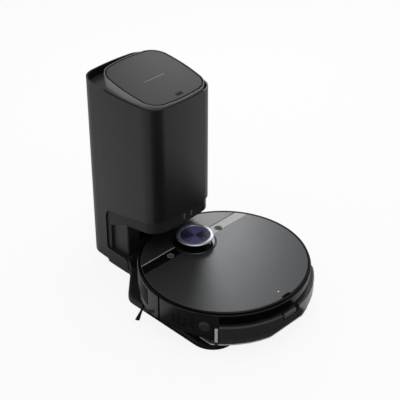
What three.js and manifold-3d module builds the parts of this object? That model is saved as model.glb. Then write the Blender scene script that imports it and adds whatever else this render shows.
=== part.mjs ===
// A robot vacuum parked nose-in on its self-emptying station, at real size.
// Millimetres, +Z up. The robot's nose points to +Y, at the station's tower.
// The origin is on the floor, under the middle of the parked pair.

import * as THREE from 'three';
import { mergeVertices } from 'three/addons/utils/BufferGeometryUtils.js';
import Module from 'manifold-3d';

const wasm = await Module();
wasm.setup();

// ---------------------------------------------------------------- shared sizes

const GAP = 0.3; // clearance between pieces that seat on each other
const WALL = 3; // moulded plastic wall
const RIM_WALL = 3.2; // outer wall of the tower

// ---------------------------------------------------------------- robot sizes

const BODY_RADIUS = 177.5; // side wall and bumper
const BODY_BOTTOM = 21.5; // lower edge of the side wall, above the robot's ground
const CHASSIS_BOTTOM = 9; // underside of the chassis, above the robot's ground
const CHASSIS_WALL_TOP = 30;
const RAISED_FLOOR = 16; // chassis underside over the mop plate
const LID_STEP = 7; // how far the lid's edge stands back from the side wall
const LID_TOP = 82.5;
const LID_THICKNESS = 3.2;
const FLANGE_THICKNESS = 3.5;
const FLANGE_RADIUS = 162; // ring under the lid, clear of the pushed bumper
const FLANGE_BORE = 150;
const TURRET_Y = 84.75; // turret axis, ahead of the robot's middle
const TURRET_RADIUS = 39.6;
const TURRET_TOP = 101;
const COLLAR_RADIUS = 46;
const BAND_BACK = 76; // glossy control band across the lid
const BAND_FRONT = 100.3;
const BUTTON_X = 70;
const BUTTON_RADIUS = 8.2;
const BUTTON_TRAVEL = 0.8;
const BUMPER_TRAVEL = 4;
const BUMPER_END = 9.3; // the bumper covers everything ahead of this line
const BUMPER_BOTTOM = 19;
const BUMPER_WALL = 3.8;
const WHEEL_Y = -17;
const WHEEL_RADIUS = 33;
const WHEEL_WIDTH = 20;
const ARM_LENGTH = 38; // from the wheel's axle forward to the arm's pivot
const ARM_PIVOT_Z = 36;
const ARM_HALF_WIDTH = 13;
const CASTER_Y = 128;
const CASTER_RADIUS = 10.8;
const CASTER_TRAIL = 7;
const FORK_RADIUS = 20.5;
const BRUSH_Y = 45;
const BRUSH_Z = 25.2;
const BRUSH_RADIUS = 20.5;
const BRUSH_HALF_LENGTH = 78;
const BRUSH_TO_WHEEL = 39; // from the end of the brush to the middle of a drive wheel
const WHEEL_X = BRUSH_HALF_LENGTH + BRUSH_TO_WHEEL;
const WHEEL_BAY_IN = 29; // opening in the chassis, inwards of the wheel's middle
const WHEEL_BAY_OUT = 14;
const RAIL_INNER = WHEEL_X - 31.8; // chassis rail that carries the arm's pivot
const RAIL_OUTER = RAIL_INNER + 3.4;
const SIDE_BRUSH_X = 127;
const SIDE_BRUSH_Y = 95;
const SIDE_BRUSH_REACH = 78;
const TANK_OVERHANG = 7.5; // curved back of the tank, past the side wall
const TANK_HALF_WIDTH = 118;
const TANK_FRONT = -62;
const TANK_BOTTOM = 24.3;
const TANK_TOP = 54;
const TANK_HALF_ANGLE = 49; // half the arc that the tank's curved back covers
const HANDLE_HALF_WIDTH = 24;
const HANDLE_DEPTH = 15; // of the finger recess, from the top of the tank
const BATTERY_TOP = 33;
const FAN_TOP = 64;
const FAN_DUCT_BACK = -57;
const FAN_DUCT_FRONT = -40;
const MOP_OVERHANG = 2.5;
const MOP_BACK = -174;
const MOP_FRONT = -69;
const MOP_LIP = 2.6; // the bracket's ends, past the upright clips
const CLIP_ARC = 2.2; // degrees that each clip covers, beside the tank's curved back
const CLIP_SPACE = 0.5;
const MOP_PAD_BOTTOM = 4.3;
const MOP_PLATE_BOTTOM = 9.3;
const MOP_PLATE_TOP = 15.4;
const BOSS_RADIUS = 12;
const BOSS_ANGLE = -148.3;
const BOSS_Z = 47;

// ---------------------------------------------------------------- station sizes

const DOCK_LIFT = 16; // height of the plate that the robot's wheels stand on
const TOWER_HALF_WIDTH = 88.4;
const TOWER_FRONT = 110; // measured from the axis of the parked robot
const TOWER_BACK = 332;
const TOWER_RIM = 424;
const TOWER_CORNER = 38;
const TOWER_BOW = 2.5; // how far each side of the tower bulges
const BACK_RIM_RISE = 5;
const BAY_EDGE_BACK = 265; // back edge of the docking opening in the shell
const BAY_EDGE_LOW = 37;
const BAY_EDGE_HIGH_BACK = 141;
const BAY_EDGE_HIGH_FRONT = 165.5;
const BAY_CORNER = 26;
const TOWER_FOOT_FRONT = 199; // where the tower's lower part starts
const TOWER_FOOT_ROUND = 13;
const BAND_INSET = 3.5; // docking frame, inside the shell's face
const NECK_BACK = 252.5;
const CEILING_BACK = 100; // the docking space falls to the neck in two slopes
const CEILING_KNEE_Y = 205;
const CEILING_KNEE = 123;
const CEILING_FRONT = 136.5;
const NECK_FRONT = 207;
const NECK_CORNER = 4;
const NECK_WINDOW_HALF_WIDTH = 45;
const NECK_WINDOW_LOW = 62;
const NECK_WINDOW_HIGH = 84;
const NECK_HALF_WIDTH = 78;
const PLATE_HALF_WIDTH = 152;
const PLATE_FRONT = -118;
const PLATE_CORNER = 50;
const PLATE_SHOULDER = 115; // where the plate starts to narrow to the tower
const PLATE_BOTTOM = 2;
const RAMP_TOP_Y = -50;
const PORT_HALF_WIDTH = 42;
const PORT_HALF_DEPTH = 15;
const DUCT_HALF_WIDTH = 44;
const DUCT_TOP = 12.2;
const RISER_Y = 286;
const CONTACT_X = 52;
const CONTACT_Y = 140;
const DECK_TOP = 412; // rim shelf inside the tower mouth
const BAY_FLOOR = 262;
const BAY_HALF_WIDTH = 76;
const BAY_FRONT = 121;
const BAY_BACK = 262;
const BAY_TUB_CORNER = 40;
const BAY_WALL = 2.4;
const BAG_PORT_Z = 320; // middle of the bag's mouth in the tub's back wall
const BAG_PORT_HALF_WIDTH = 24;
const BAG_PORT_HALF_HEIGHT = 17;
const BAG_CARD_HALF_WIDTH = 38;
const BAG_CARD_HALF_HEIGHT = 32;
const BAG_CARD = 3;
const BAG_TOP = 396;
const BAG_CORNER = 26;
const BAG_SOFT_EDGE = 12;
const BAG_SIDE_SPACE = 8;
const BAG_FRONT_SPACE = 10;
const MOTOR_Y = 195;
const MOTOR_RADIUS = 46;
const MOTOR_TOP = 251;
const MOTOR_SHOULDER = 214; // where the motor can widens to its flange
const BOARD_BACK_Y = 310.6; // rear face of the station's circuit board
const BOARD_X0 = -66;
const BOARD_X1 = -30;
const BOARD_Z0 = 70;
const BOARD_Z1 = 160;
const INLET_X0 = -59.7;
const INLET_X1 = -32.3;
const INLET_Z0 = 28.3;
const INLET_Z1 = 47.7;
const LID_HALF_WIDTH = 83.2;
const LID_FRONT = 114.3;
const LID_BACK = 283;
const LID_CORNER = 41;
const LID_WALL = 3.4;
const LID_BORDER = 1.4; // the frame's visible edge, outside the plate
const LID_SEAM = 0.8; // shadow gap round the plate
const LID_BOTTOM = 416.6;
const LID_FRONT_TOP = 428.8;
const LID_TILT = 8.75; // degrees that the station lid rises to the back
const LID_AXIS_Y = 276.6;
const LID_AXIS_Z = 420;
const LID_PIN_RADIUS = 2;
const LID_EAR_X = 40; // bearing blocks on the deck, either side of the middle
const LID_EAR_HALF = 4;
const LID_EAR_HALF_WIDTH = 3;
const LINER_BACK_SPACE = 10; // from the hinge pin to the liner's back edge
const FOOT_RADIUS = 8;

const PLATE_TOP = DOCK_LIFT - GAP;
const LID_RADIUS = BODY_RADIUS - LID_STEP;
const TANK_RADIUS = BODY_RADIUS + TANK_OVERHANG;
const MOP_RADIUS = BODY_RADIUS + MOP_OVERHANG;
const CLIP_END = THREE.MathUtils.degToRad(TANK_HALF_ANGLE + CLIP_SPACE + CLIP_ARC);
const MOP_HALF_WIDTH = (TANK_RADIUS - 1) * Math.sin(CLIP_END) + MOP_LIP;
const ARM_PIVOT_Y = WHEEL_Y + ARM_LENGTH;
const REACH = 2 * TOWER_RIM; // past every face, for cutting tools
const LID_UNDER = LID_TOP - LID_THICKNESS;
const FLANGE_TOP = LID_UNDER - GAP;
const FLANGE_UNDER = FLANGE_TOP - FLANGE_THICKNESS;
const CENTRE_Y = (TOWER_BACK - TANK_RADIUS) / 2;
const ROUND = 64; // facets round the robot's body
const COARSE = 40; // facets round what the body hides

// ---------------------------------------------------------------- solids

const radians = THREE.MathUtils.degToRad;
const X_AXIS = new THREE.Vector3(1, 0, 0);
const Y_AXIS = new THREE.Vector3(0, 1, 0);
const Z_AXIS = new THREE.Vector3(0, 0, 1);

// Makes a solid that can be cut and joined from a closed geometry.
function solid(geometry) {
  const bare = geometry.clone();
  bare.deleteAttribute('normal');
  bare.deleteAttribute('uv');
  const merged = mergeVertices(bare);
  const index = merged.index.array;
  const triangles = [];
  for (let i = 0; i < index.length; i += 3) {
    const [a, b, c] = [index[i], index[i + 1], index[i + 2]];
    if (a !== b && b !== c && c !== a) {
      triangles.push(a, b, c);
    }
  }
  const mesh = new wasm.Mesh({
    numProp: 3,
    vertProperties: new Float32Array(merged.attributes.position.array),
    triVerts: new Uint32Array(triangles),
  });
  return new wasm.Manifold(mesh);
}

// Gives the surface of a solid back as a geometry.
function surface(shape) {
  const mesh = shape.getMesh();
  const geometry = new THREE.BufferGeometry();
  geometry.setAttribute('position', new THREE.BufferAttribute(mesh.vertProperties.slice(), 3));
  geometry.setIndex(new THREE.BufferAttribute(mesh.triVerts.slice(), 1));
  geometry.computeVertexNormals();
  return geometry;
}

function join(first, ...others) {
  return others.reduce((whole, piece) => whole.add(piece), first);
}

function cut(first, ...tools) {
  return tools.reduce((rest, tool) => rest.subtract(tool), first);
}

function box(x0, x1, y0, y1, z0, z1) {
  const geometry = new THREE.BoxGeometry(x1 - x0, y1 - y0, z1 - z0);
  geometry.translate((x0 + x1) / 2, (y0 + y1) / 2, (z0 + z1) / 2);
  return solid(geometry);
}

// Extrudes a plan upwards. An arc gets the given number of facets, other curves half as many.
function prism(plan, bottom, top, facets = 12) {
  const options = { depth: top - bottom, bevelEnabled: false, curveSegments: Math.ceil(facets / 2) };
  const geometry = new THREE.ExtrudeGeometry(plan, options);
  geometry.translate(0, 0, bottom);
  return solid(geometry);
}

// Extrudes a plan upwards and rounds its top and bottom edges.
function softPrism(plan, bottom, top, edge, facets = 12, bevelSegments = 2) {
  const geometry = new THREE.ExtrudeGeometry(plan, {
    depth: top - bottom - 2 * edge,
    bevelThickness: edge,
    bevelSize: edge,
    bevelOffset: -edge,
    bevelSegments,
    curveSegments: Math.ceil(facets / 2),
  });
  geometry.translate(0, 0, bottom + edge);
  return solid(geometry);
}

// Extrudes a side view, drawn in (y, z), from x0 to x1.
function sidePrism(profile, x0, x1, facets = 12) {
  const options = { depth: x1 - x0, bevelEnabled: false, curveSegments: Math.ceil(facets / 2) };
  const geometry = new THREE.ExtrudeGeometry(profile, options);
  geometry.applyMatrix4(new THREE.Matrix4().makeBasis(Y_AXIS, Z_AXIS, X_AXIS));
  geometry.translate(x0, 0, 0);
  return solid(geometry);
}

// Revolves a closed outline of (radius, height) points about a vertical axis.
function revolve(outline, segments = 32) {
  const points = outline.map(([radius, height]) => new THREE.Vector2(radius, height));
  if (THREE.ShapeUtils.isClockWise(points)) {
    points.reverse();
  }
  if (points[0].x > 0 || points[points.length - 1].x > 0) {
    points.push(points[0].clone());
  }
  const geometry = new THREE.LatheGeometry(points, segments);
  geometry.rotateX(Math.PI / 2);
  return solid(geometry);
}

// A round bar from one point along an axis.
function rod(radius, start, axis, length, segments = 16) {
  const geometry = new THREE.CylinderGeometry(radius, radius, length, segments);
  geometry.translate(0, length / 2, 0);
  geometry.applyQuaternion(new THREE.Quaternion().setFromUnitVectors(Y_AXIS, axis));
  geometry.translate(start[0], start[1], start[2]);
  return solid(geometry);
}

// ---------------------------------------------------------------- plans

function circle(radius, x = 0, y = 0) {
  const plan = new THREE.Shape();
  plan.absarc(x, y, radius, 0, 2 * Math.PI, false);
  return plan;
}

function roundedBox(x0, x1, y0, y1, corner) {
  const plan = new THREE.Shape();
  plan.moveTo(x0 + corner, y0);
  plan.lineTo(x1 - corner, y0);
  plan.absarc(x1 - corner, y0 + corner, corner, -Math.PI / 2, 0, false);
  plan.lineTo(x1, y1 - corner);
  plan.absarc(x1 - corner, y1 - corner, corner, 0, Math.PI / 2, false);
  plan.lineTo(x0 + corner, y1);
  plan.absarc(x0 + corner, y1 - corner, corner, Math.PI / 2, Math.PI, false);
  plan.lineTo(x0, y0 + corner);
  plan.absarc(x0 + corner, y0 + corner, corner, Math.PI, 1.5 * Math.PI, false);
  return plan;
}

// A wedge of a disc between two angles in degrees, for cutting rings to length.
function wedge(radius, startAngle, endAngle) {
  const plan = new THREE.Shape();
  const start = radians(startAngle);
  plan.moveTo(0, 0);
  plan.lineTo(radius * Math.cos(start), radius * Math.sin(start));
  plan.absarc(0, 0, radius, start, radians(endAngle), false);
  return plan;
}

// A piece of ring between two radii and two angles.
function arcPlan(inner, outer, startAngle, endAngle) {
  const plan = new THREE.Shape();
  plan.absarc(0, 0, outer, radians(startAngle), radians(endAngle), false);
  plan.absarc(0, 0, inner, radians(endAngle), radians(startAngle), true);
  return plan;
}

// A rounded box whose four sides bulge outward by the tower's bow.
function bowedBox(half, front, back, corner) {
  const middle = (front + back) / 2;
  const bulge = 2 * TOWER_BOW;
  const plan = new THREE.Shape();
  plan.moveTo(-half + corner, front);
  plan.quadraticCurveTo(0, front - bulge, half - corner, front);
  plan.absarc(half - corner, front + corner, corner, -Math.PI / 2, 0, false);
  plan.quadraticCurveTo(half + bulge, middle, half, back - corner);
  plan.absarc(half - corner, back - corner, corner, 0, Math.PI / 2, false);
  plan.quadraticCurveTo(0, back + bulge, -half + corner, back);
  plan.absarc(-half + corner, back - corner, corner, Math.PI / 2, Math.PI, false);
  plan.quadraticCurveTo(-half - bulge, middle, -half, front + corner);
  plan.absarc(-half + corner, front + corner, corner, Math.PI, 1.5 * Math.PI, false);
  return plan;
}

function towerPlan(inset) {
  const half = TOWER_HALF_WIDTH - TOWER_BOW - inset;
  return bowedBox(half, TOWER_FRONT + inset, TOWER_BACK - TOWER_BOW - inset, TOWER_CORNER - inset);
}

// The station lid's plan, the same rounded square drawn smaller and shorter.
function lidPlan(inset, back = LID_BACK) {
  const half = LID_HALF_WIDTH - TOWER_BOW - inset;
  return bowedBox(half, LID_FRONT + inset, back - TOWER_BOW - inset, LID_CORNER - inset);
}

// The tub's plan, under the lid.
function tubPlan(inset) {
  const half = BAY_HALF_WIDTH - inset;
  return roundedBox(-half, half, BAY_FRONT + inset, BAY_BACK - inset, BAY_TUB_CORNER - inset);
}

// The base plate: a wide tray that narrows in a straight flare to the tower.
function platePlan(inset) {
  const half = PLATE_HALF_WIDTH - inset;
  const front = PLATE_FRONT + inset;
  const back = TOWER_FOOT_FRONT - GAP;
  const corner = PLATE_CORNER - inset;
  const neck = TOWER_HALF_WIDTH - inset;
  const plan = new THREE.Shape();
  plan.moveTo(-half + corner, front);
  plan.lineTo(half - corner, front);
  plan.absarc(half - corner, front + corner, corner, -Math.PI / 2, 0, false);
  plan.lineTo(half, PLATE_SHOULDER);
  plan.quadraticCurveTo(half, PLATE_SHOULDER + 14, half - 12, PLATE_SHOULDER + 26);
  plan.lineTo(neck + 6, back - 13);
  plan.quadraticCurveTo(neck, back - 6, neck, back);
  plan.lineTo(-neck, back);
  plan.quadraticCurveTo(-neck, back - 6, -neck - 6, back - 13);
  plan.lineTo(-half + 12, PLATE_SHOULDER + 26);
  plan.quadraticCurveTo(-half, PLATE_SHOULDER + 14, -half, PLATE_SHOULDER);
  plan.lineTo(-half, front + corner);
  plan.absarc(-half + corner, front + corner, corner, Math.PI, 1.5 * Math.PI, false);
  return plan;
}

// The docking space as seen from the side, inset on its back and top.
function dockingSpace(inset) {
  const slope = (CEILING_FRONT - CEILING_KNEE) / (CEILING_KNEE_Y - TOWER_FRONT);
  const far = TOWER_FRONT - 3 * TOWER_CORNER;
  const back = NECK_BACK - inset;
  const side = new THREE.Shape();
  side.moveTo(far, BAY_EDGE_LOW + 0.5 + inset);
  side.lineTo(back, BAY_EDGE_LOW + 0.5 + inset);
  side.lineTo(back, CEILING_BACK - inset);
  side.lineTo(CEILING_KNEE_Y, CEILING_KNEE - inset);
  side.lineTo(far, CEILING_KNEE - inset + slope * (CEILING_KNEE_Y - far));
  return side;
}

// ---------------------------------------------------------------- finishes

const FINISHES = {
  satinShell: [0x242527, 0.5, 0.1],
  darkShell: [0x18191a, 0.6, 0],
  matteBase: [0x151617, 0.7, 0],
  gloss: [0x08090a, 0.12, 0],
  smoked: [0x1b1d20, 0.2, 0],
  brushed: [0x55575a, 0.35, 0.8],
  silver: [0xc9ccd0, 0.25, 0.9],
  violet: [0x4b3f86, 0.3, 0.9],
  rubber: [0x111111, 0.9, 0],
  grey: [0x8b8d90, 0.6, 0],
  fabric: [0xb9bbbd, 0.95, 0],
  paper: [0xd8d4c8, 0.9, 0],
  metal: [0xb5b0a4, 0.35, 0.9],
  board: [0x1f5a37, 0.6, 0.1],
  bristle: [0x1c1c1e, 0.8, 0],
};

function add(group, name, shape, finish) {
  const [color, roughness, metalness] = FINISHES[finish];
  const material = new THREE.MeshStandardMaterial({ color, roughness, metalness });
  const mesh = new THREE.Mesh(surface(shape), material);
  mesh.name = name;
  group.add(mesh);
  return mesh;
}

const SIDES = [['left', -1], ['right', 1]];

// ================================================================ the robot

// The lower tray: half of it, turned from one outline of the given radius.
function chassisHalf(radius, y0, y1) {
  const outline = [
    [0, CHASSIS_BOTTOM],
    [radius - 18, CHASSIS_BOTTOM],
    [radius, BODY_BOTTOM - 0.7],
    [radius, CHASSIS_WALL_TOP],
    [radius - WALL, CHASSIS_WALL_TOP],
    [radius - WALL, BODY_BOTTOM + 1],
    [radius - 19, CHASSIS_BOTTOM + WALL],
    [0, CHASSIS_BOTTOM + WALL],
  ];
  return revolve(outline, COARSE).intersect(box(-200, 200, y0, y1, 0, 60));
}

const CHASSIS_RADIUS = BODY_RADIUS - WALL - 2 * GAP;
const CHASSIS_NOSE_RADIUS = BODY_RADIUS - BUMPER_WALL - BUMPER_TRAVEL - 2 * GAP;
const CHASSIS_FLOOR = CHASSIS_BOTTOM + WALL;
const CHASSIS_SPLIT = BUMPER_END - 4.5;

function chassis() {
  const nose = chassisHalf(CHASSIS_NOSE_RADIUS, CHASSIS_SPLIT, 200);
  const tail = chassisHalf(CHASSIS_RADIUS, -200, CHASSIS_SPLIT + 0.01);
  const raised = prism(circle(CHASSIS_RADIUS - 1), RAISED_FLOOR, RAISED_FLOOR + WALL, COARSE)
    .intersect(box(-200, 200, -200, MOP_FRONT + WALL, 0, 60));
  const step = box(-150, 150, MOP_FRONT + GAP, MOP_FRONT + GAP + WALL, CHASSIS_BOTTOM, RAISED_FLOOR + WALL);
  const underMop = box(-200, 200, -200, MOP_FRONT + GAP, 0, RAISED_FLOOR);
  let tray = join(cut(tail, underMop), nose, raised, step);

  const bay = TANK_HALF_WIDTH + 0.5;
  const tools = [box(-bay, bay, -200, TANK_FRONT + 0.5, 0, 60)];
  tools.push(box(-85, 85, BRUSH_Y - 22.5, BRUSH_Y + 22.5, 0, 20));
  tools.push(prism(circle(FORK_RADIUS + 1.5, 0, CASTER_Y), 0, 20, 20));
  for (const [, side] of SIDES) {
    const inner = side * (WHEEL_X - WHEEL_BAY_IN);
    const outer = side * (WHEEL_X + WHEEL_BAY_OUT);
    tools.push(box(Math.min(inner, outer), Math.max(inner, outer), WHEEL_Y - 41, WHEEL_Y + 53, 0, 29));
    tools.push(prism(circle(4 + GAP, side * SIDE_BRUSH_X, SIDE_BRUSH_Y), 0, 30, 12));
  }
  tray = cut(tray, ...tools);

  const extras = [];
  const bossRing = cut(
    prism(circle(FORK_RADIUS + 4, 0, CASTER_Y), CHASSIS_BOTTOM, 25, 20),
    prism(circle(FORK_RADIUS + 1.5, 0, CASTER_Y), 0, 60, 20),
  );
  const bridge = cut(
    box(-FORK_RADIUS - 4, FORK_RADIUS + 4, CASTER_Y - 8, CASTER_Y + 8, 25, 29),
    prism(circle(5 + GAP, 0, CASTER_Y), 0, 60, 16),
  );
  extras.push(bossRing, bridge);
  for (const [, side] of SIDES) {
    const face = side * RAIL_INNER;
    const far = side * RAIL_OUTER;
    const rail = box(Math.min(face, far), Math.max(face, far),
      ARM_PIVOT_Y - 8, ARM_PIVOT_Y + 12, CHASSIS_BOTTOM, ARM_PIVOT_Z + 8);
    const start = [side * (RAIL_INNER + 0.8), ARM_PIVOT_Y, ARM_PIVOT_Z];
    const pin = rod(3, start, X_AXIS.clone().multiplyScalar(side), 19, 12);
    const boss = cut(
      prism(circle(9, side * SIDE_BRUSH_X, SIDE_BRUSH_Y), CHASSIS_FLOOR - 1, 22, 12),
      prism(circle(4 + GAP, side * SIDE_BRUSH_X, SIDE_BRUSH_Y), 0, 30, 12),
    );
    const post = rod(3, [side * 72, 14, CHASSIS_FLOOR - 1], Z_AXIS, FAN_TOP - CHASSIS_FLOOR + 1, 8);
    extras.push(rail, pin, boss, post);
  }
  return join(tray, ...extras);
}

// A wall that is turned round the body with a rounded upper edge.
function turnedWall(inner, outer, bottom, flangeBore) {
  const edge = 2.6;
  const outline = [
    [inner, bottom],
    [outer - 1, bottom],
    [outer, bottom + 1],
    [outer, FLANGE_TOP - edge],
    [outer - 0.35 * edge, FLANGE_TOP - 0.35 * edge],
    [outer - edge, FLANGE_TOP],
    [flangeBore, FLANGE_TOP],
    [flangeBore, FLANGE_UNDER],
    [inner, FLANGE_UNDER],
  ];
  return revolve(outline, ROUND);
}

// Short slots in staggered rows, where the fan blows out of the left wall.
function ventSlots() {
  const columns = 4;
  const rows = 5;
  const slots = [];
  for (let column = 0; column < columns; column++) {
    for (let row = 0; row < rows; row++) {
      const geometry = new THREE.BoxGeometry(8, 9, 2);
      const height = 36 + row * 5 + (column % 2) * 2.5;
      geometry.translate(BODY_RADIUS, 0, height);
      geometry.rotateZ(radians(-170 + column * 4.4));
      slots.push(solid(geometry));
    }
  }
  return slots;
}

const FASCIA_START = -90 - TANK_HALF_ANGLE;
const FASCIA_END = -90 + TANK_HALF_ANGLE;

function sideShell() {
  const tail = box(-200, 200, -200, BUMPER_END - BUMPER_TRAVEL - 0.5, 0, 100);
  const wall = turnedWall(BODY_RADIUS - WALL, BODY_RADIUS, BODY_BOTTOM, FLANGE_BORE).intersect(tail);
  const ring = revolve([
    [FLANGE_BORE, FLANGE_UNDER],
    [FLANGE_RADIUS, FLANGE_UNDER],
    [FLANGE_RADIUS, FLANGE_TOP],
    [FLANGE_BORE, FLANGE_TOP],
  ], ROUND);
  const tankOpening = prism(wedge(200, FASCIA_START - 0.4, FASCIA_END + 0.4), 0, TANK_TOP + 0.5, 24);
  const panelRecess = prism(
    arcPlan(BODY_RADIUS - 1.5, BODY_RADIUS + 5, FASCIA_START - 0.2, FASCIA_END + 0.2),
    TANK_TOP + 2.2, FLANGE_TOP - 3.6, 20,
  );
  const bosses = SIDES.map(([, side]) => sideBoss(side));
  return cut(join(wall, ring, ...bosses), tankOpening, panelRecess, ...ventSlots());
}

function bossDirection(side) {
  const angle = radians(BOSS_ANGLE);
  return new THREE.Vector3(-side * Math.cos(angle), Math.sin(angle), 0);
}

// A domed round cap in the side wall beside the tank.
function sideBoss(side) {
  const out = bossDirection(side);
  const outline = [
    [0, BODY_RADIUS - 1.5],
    [BOSS_RADIUS, BODY_RADIUS - 1.5],
    [BOSS_RADIUS, BODY_RADIUS + 0.6],
    [BOSS_RADIUS - 2, BODY_RADIUS + 2.2],
    [BOSS_RADIUS - 5.5, BODY_RADIUS + 3.1],
    [0, BODY_RADIUS + 3.5],
  ];
  const points = outline.map(([radius, height]) => new THREE.Vector2(radius, height));
  const geometry = new THREE.LatheGeometry(points, 16);
  geometry.applyQuaternion(new THREE.Quaternion().setFromUnitVectors(Y_AXIS, out));
  geometry.translate(0, 0, BOSS_Z);
  return solid(geometry);
}

function rearPanel() {
  const plan = arcPlan(BODY_RADIUS - 1.2, BODY_RADIUS + 0.2, FASCIA_START, FASCIA_END);
  return prism(plan, TANK_TOP + 2.5, FLANGE_TOP - 3.9, 20);
}

const WINDOW_ANGLES = [146, 165];
const WINDOW_BOTTOM = 34;
const WINDOW_TOP = 72;

function windowPlan(side, inner, outer, margin) {
  const start = side < 0 ? WINDOW_ANGLES[0] : 180 - WINDOW_ANGLES[1];
  const end = side < 0 ? WINDOW_ANGLES[1] : 180 - WINDOW_ANGLES[0];
  return arcPlan(inner, outer, start - margin, end + margin);
}

function bumper() {
  const flangeBore = FLANGE_RADIUS + BUMPER_TRAVEL + 2;
  const ring = turnedWall(BODY_RADIUS - BUMPER_WALL, BODY_RADIUS, BUMPER_BOTTOM, flangeBore);
  const front = ring.intersect(box(-200, 200, BUMPER_END, 200, 0, 100));
  const recesses = SIDES.map(([, side]) => prism(
    windowPlan(side, BODY_RADIUS - 2, BODY_RADIUS + 5, 0.15), WINDOW_BOTTOM - GAP, WINDOW_TOP + GAP, 8,
  ));
  return cut(front, ...recesses);
}

function bumperWindow(side) {
  return prism(windowPlan(side, BODY_RADIUS - 1.7, BODY_RADIUS + 0.1, 0), WINDOW_BOTTOM, WINDOW_TOP, 8);
}

// The round lid before it is divided, with a rounded upper edge.
function lidBlank() {
  return revolve([
    [0, LID_UNDER],
    [LID_RADIUS - 0.8, LID_UNDER],
    [LID_RADIUS, LID_UNDER + 0.8],
    [LID_RADIUS, LID_TOP - 1.2],
    [LID_RADIUS - 0.4, LID_TOP - 0.4],
    [LID_RADIUS - 1.2, LID_TOP],
    [0, LID_TOP],
  ], ROUND);
}

function turretHole() {
  return prism(circle(COLLAR_RADIUS + GAP, 0, TURRET_Y), LID_UNDER - 5, LID_TOP + 5, 32);
}

function mainLid(blank) {
  const half = box(-200, 200, -200, BAND_BACK - GAP / 2, 70, 90);
  const notch = softPrism(roundedBox(-12, 12, -LID_RADIUS - 20, -LID_RADIUS + 5.5, 5), 70, 95, 1);
  return cut(blank.intersect(half), turretHole(), notch);
}

function frontLid(blank) {
  const half = box(-200, 200, BAND_FRONT + GAP / 2, 200, 70, 90);
  return cut(blank.intersect(half), turretHole());
}

function controlBand(blank, side) {
  const x0 = Math.min(0, side * 200);
  const strip = box(x0, x0 + 200, BAND_BACK + GAP / 2, BAND_FRONT - GAP / 2, 70, 90);
  const buttonHole = prism(circle(BUTTON_RADIUS + GAP, side * BUTTON_X, TURRET_Y), 70, 90, 16);
  return cut(blank.intersect(strip), turretHole(), buttonHole);
}

function button(side) {
  const plan = circle(BUTTON_RADIUS, side * BUTTON_X, TURRET_Y);
  return softPrism(plan, LID_UNDER - 1, LID_TOP - 0.2, 0.5, 16, 1);
}

const TURRET_SEAT = LID_TOP + 2.5; // where the open slot of the turret starts
const TURRET_PILLAR_TOP = TURRET_TOP - 4.5;

// The turret's collar and the three pillars that carry its cap.
function turretBase() {
  const floor = FLANGE_TOP - 3;
  const collar = revolve([
    [0, floor],
    [COLLAR_RADIUS + 6, floor],
    [COLLAR_RADIUS + 6, FLANGE_TOP],
    [COLLAR_RADIUS, FLANGE_TOP],
    [COLLAR_RADIUS, LID_TOP + 0.3],
    [COLLAR_RADIUS - 1, LID_TOP + 1.3],
    [COLLAR_RADIUS - 5, TURRET_SEAT],
    [34, TURRET_SEAT],
    [34, FLANGE_TOP],
    [0, FLANGE_TOP],
  ]);
  const pillars = [-90, 30, 150].map((angle) => prism(
    arcPlan(TURRET_RADIUS - 3.6, TURRET_RADIUS - 0.8, angle - 8, angle + 8),
    TURRET_SEAT - 1, TURRET_PILLAR_TOP, 3,
  ));
  return join(collar, ...pillars);
}

function lidarRotor() {
  const drum = revolve([
    [0, FLANGE_TOP + GAP],
    [29, FLANGE_TOP + GAP],
    [29, TURRET_PILLAR_TOP - 3],
    [27, TURRET_PILLAR_TOP - 1],
    [0, TURRET_PILLAR_TOP - 1],
  ], 32);
  const face = box(-30, 30, -40, -21, TURRET_SEAT - 2, TURRET_TOP);
  const lenses = [-9, 9].map((x) => rod(5, [x, -24, TURRET_SEAT + 4.5], Y_AXIS, 8, 16));
  return cut(drum, face, ...lenses);
}

function turretCap() {
  const seat = TURRET_PILLAR_TOP + GAP;
  return revolve([
    [0, seat],
    [TURRET_RADIUS - 1.4, seat],
    [TURRET_RADIUS - 0.3, seat + 0.8],
    [TURRET_RADIUS - 0.3, seat + 1.6],
    [0, seat + 1.6],
  ]);
}

const DISC_SEAT = TURRET_PILLAR_TOP + 2 * GAP + 1.6;
const DISC_RADIUS = 31.3;

function turretRing() {
  return revolve([
    [DISC_RADIUS + GAP, DISC_SEAT],
    [TURRET_RADIUS, DISC_SEAT],
    [TURRET_RADIUS, DISC_SEAT + 1],
    [TURRET_RADIUS - 2.2, TURRET_TOP],
    [DISC_RADIUS + 1.8, TURRET_TOP],
    [DISC_RADIUS + GAP, TURRET_TOP - 0.7],
  ]);
}

function turretDisc() {
  return revolve([
    [0, DISC_SEAT],
    [DISC_RADIUS, DISC_SEAT],
    [DISC_RADIUS, TURRET_TOP - 1],
    [0, TURRET_TOP - 1.5],
  ]);
}

// A drive wheel's arm, from its pivot pin to the wheel's axle.
function wheelArm(side) {
  const reach = new THREE.Shape();
  reach.absarc(ARM_PIVOT_Y, ARM_PIVOT_Z, ARM_HALF_WIDTH - 3, -Math.PI / 2, Math.PI / 2, false);
  reach.absarc(WHEEL_Y, WHEEL_RADIUS, ARM_HALF_WIDTH, Math.PI / 2, 1.5 * Math.PI, false);
  const inner = WHEEL_X - WHEEL_WIDTH / 2 - 17;
  const outer = inner + 14;
  const [x0, x1] = [side * inner, side * outer].sort((a, b) => a - b);
  const bar = sidePrism(reach, x0, x1, 8);
  const out = X_AXIS.clone().multiplyScalar(side);
  const pinHole = rod(3 + GAP, [side * (inner - 2), ARM_PIVOT_Y, ARM_PIVOT_Z], out, 30, 12);
  const axle = rod(4, [side * (inner + 2), WHEEL_Y, WHEEL_RADIUS], out, 30, 12);
  return join(cut(bar, pinHole), axle);
}

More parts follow.
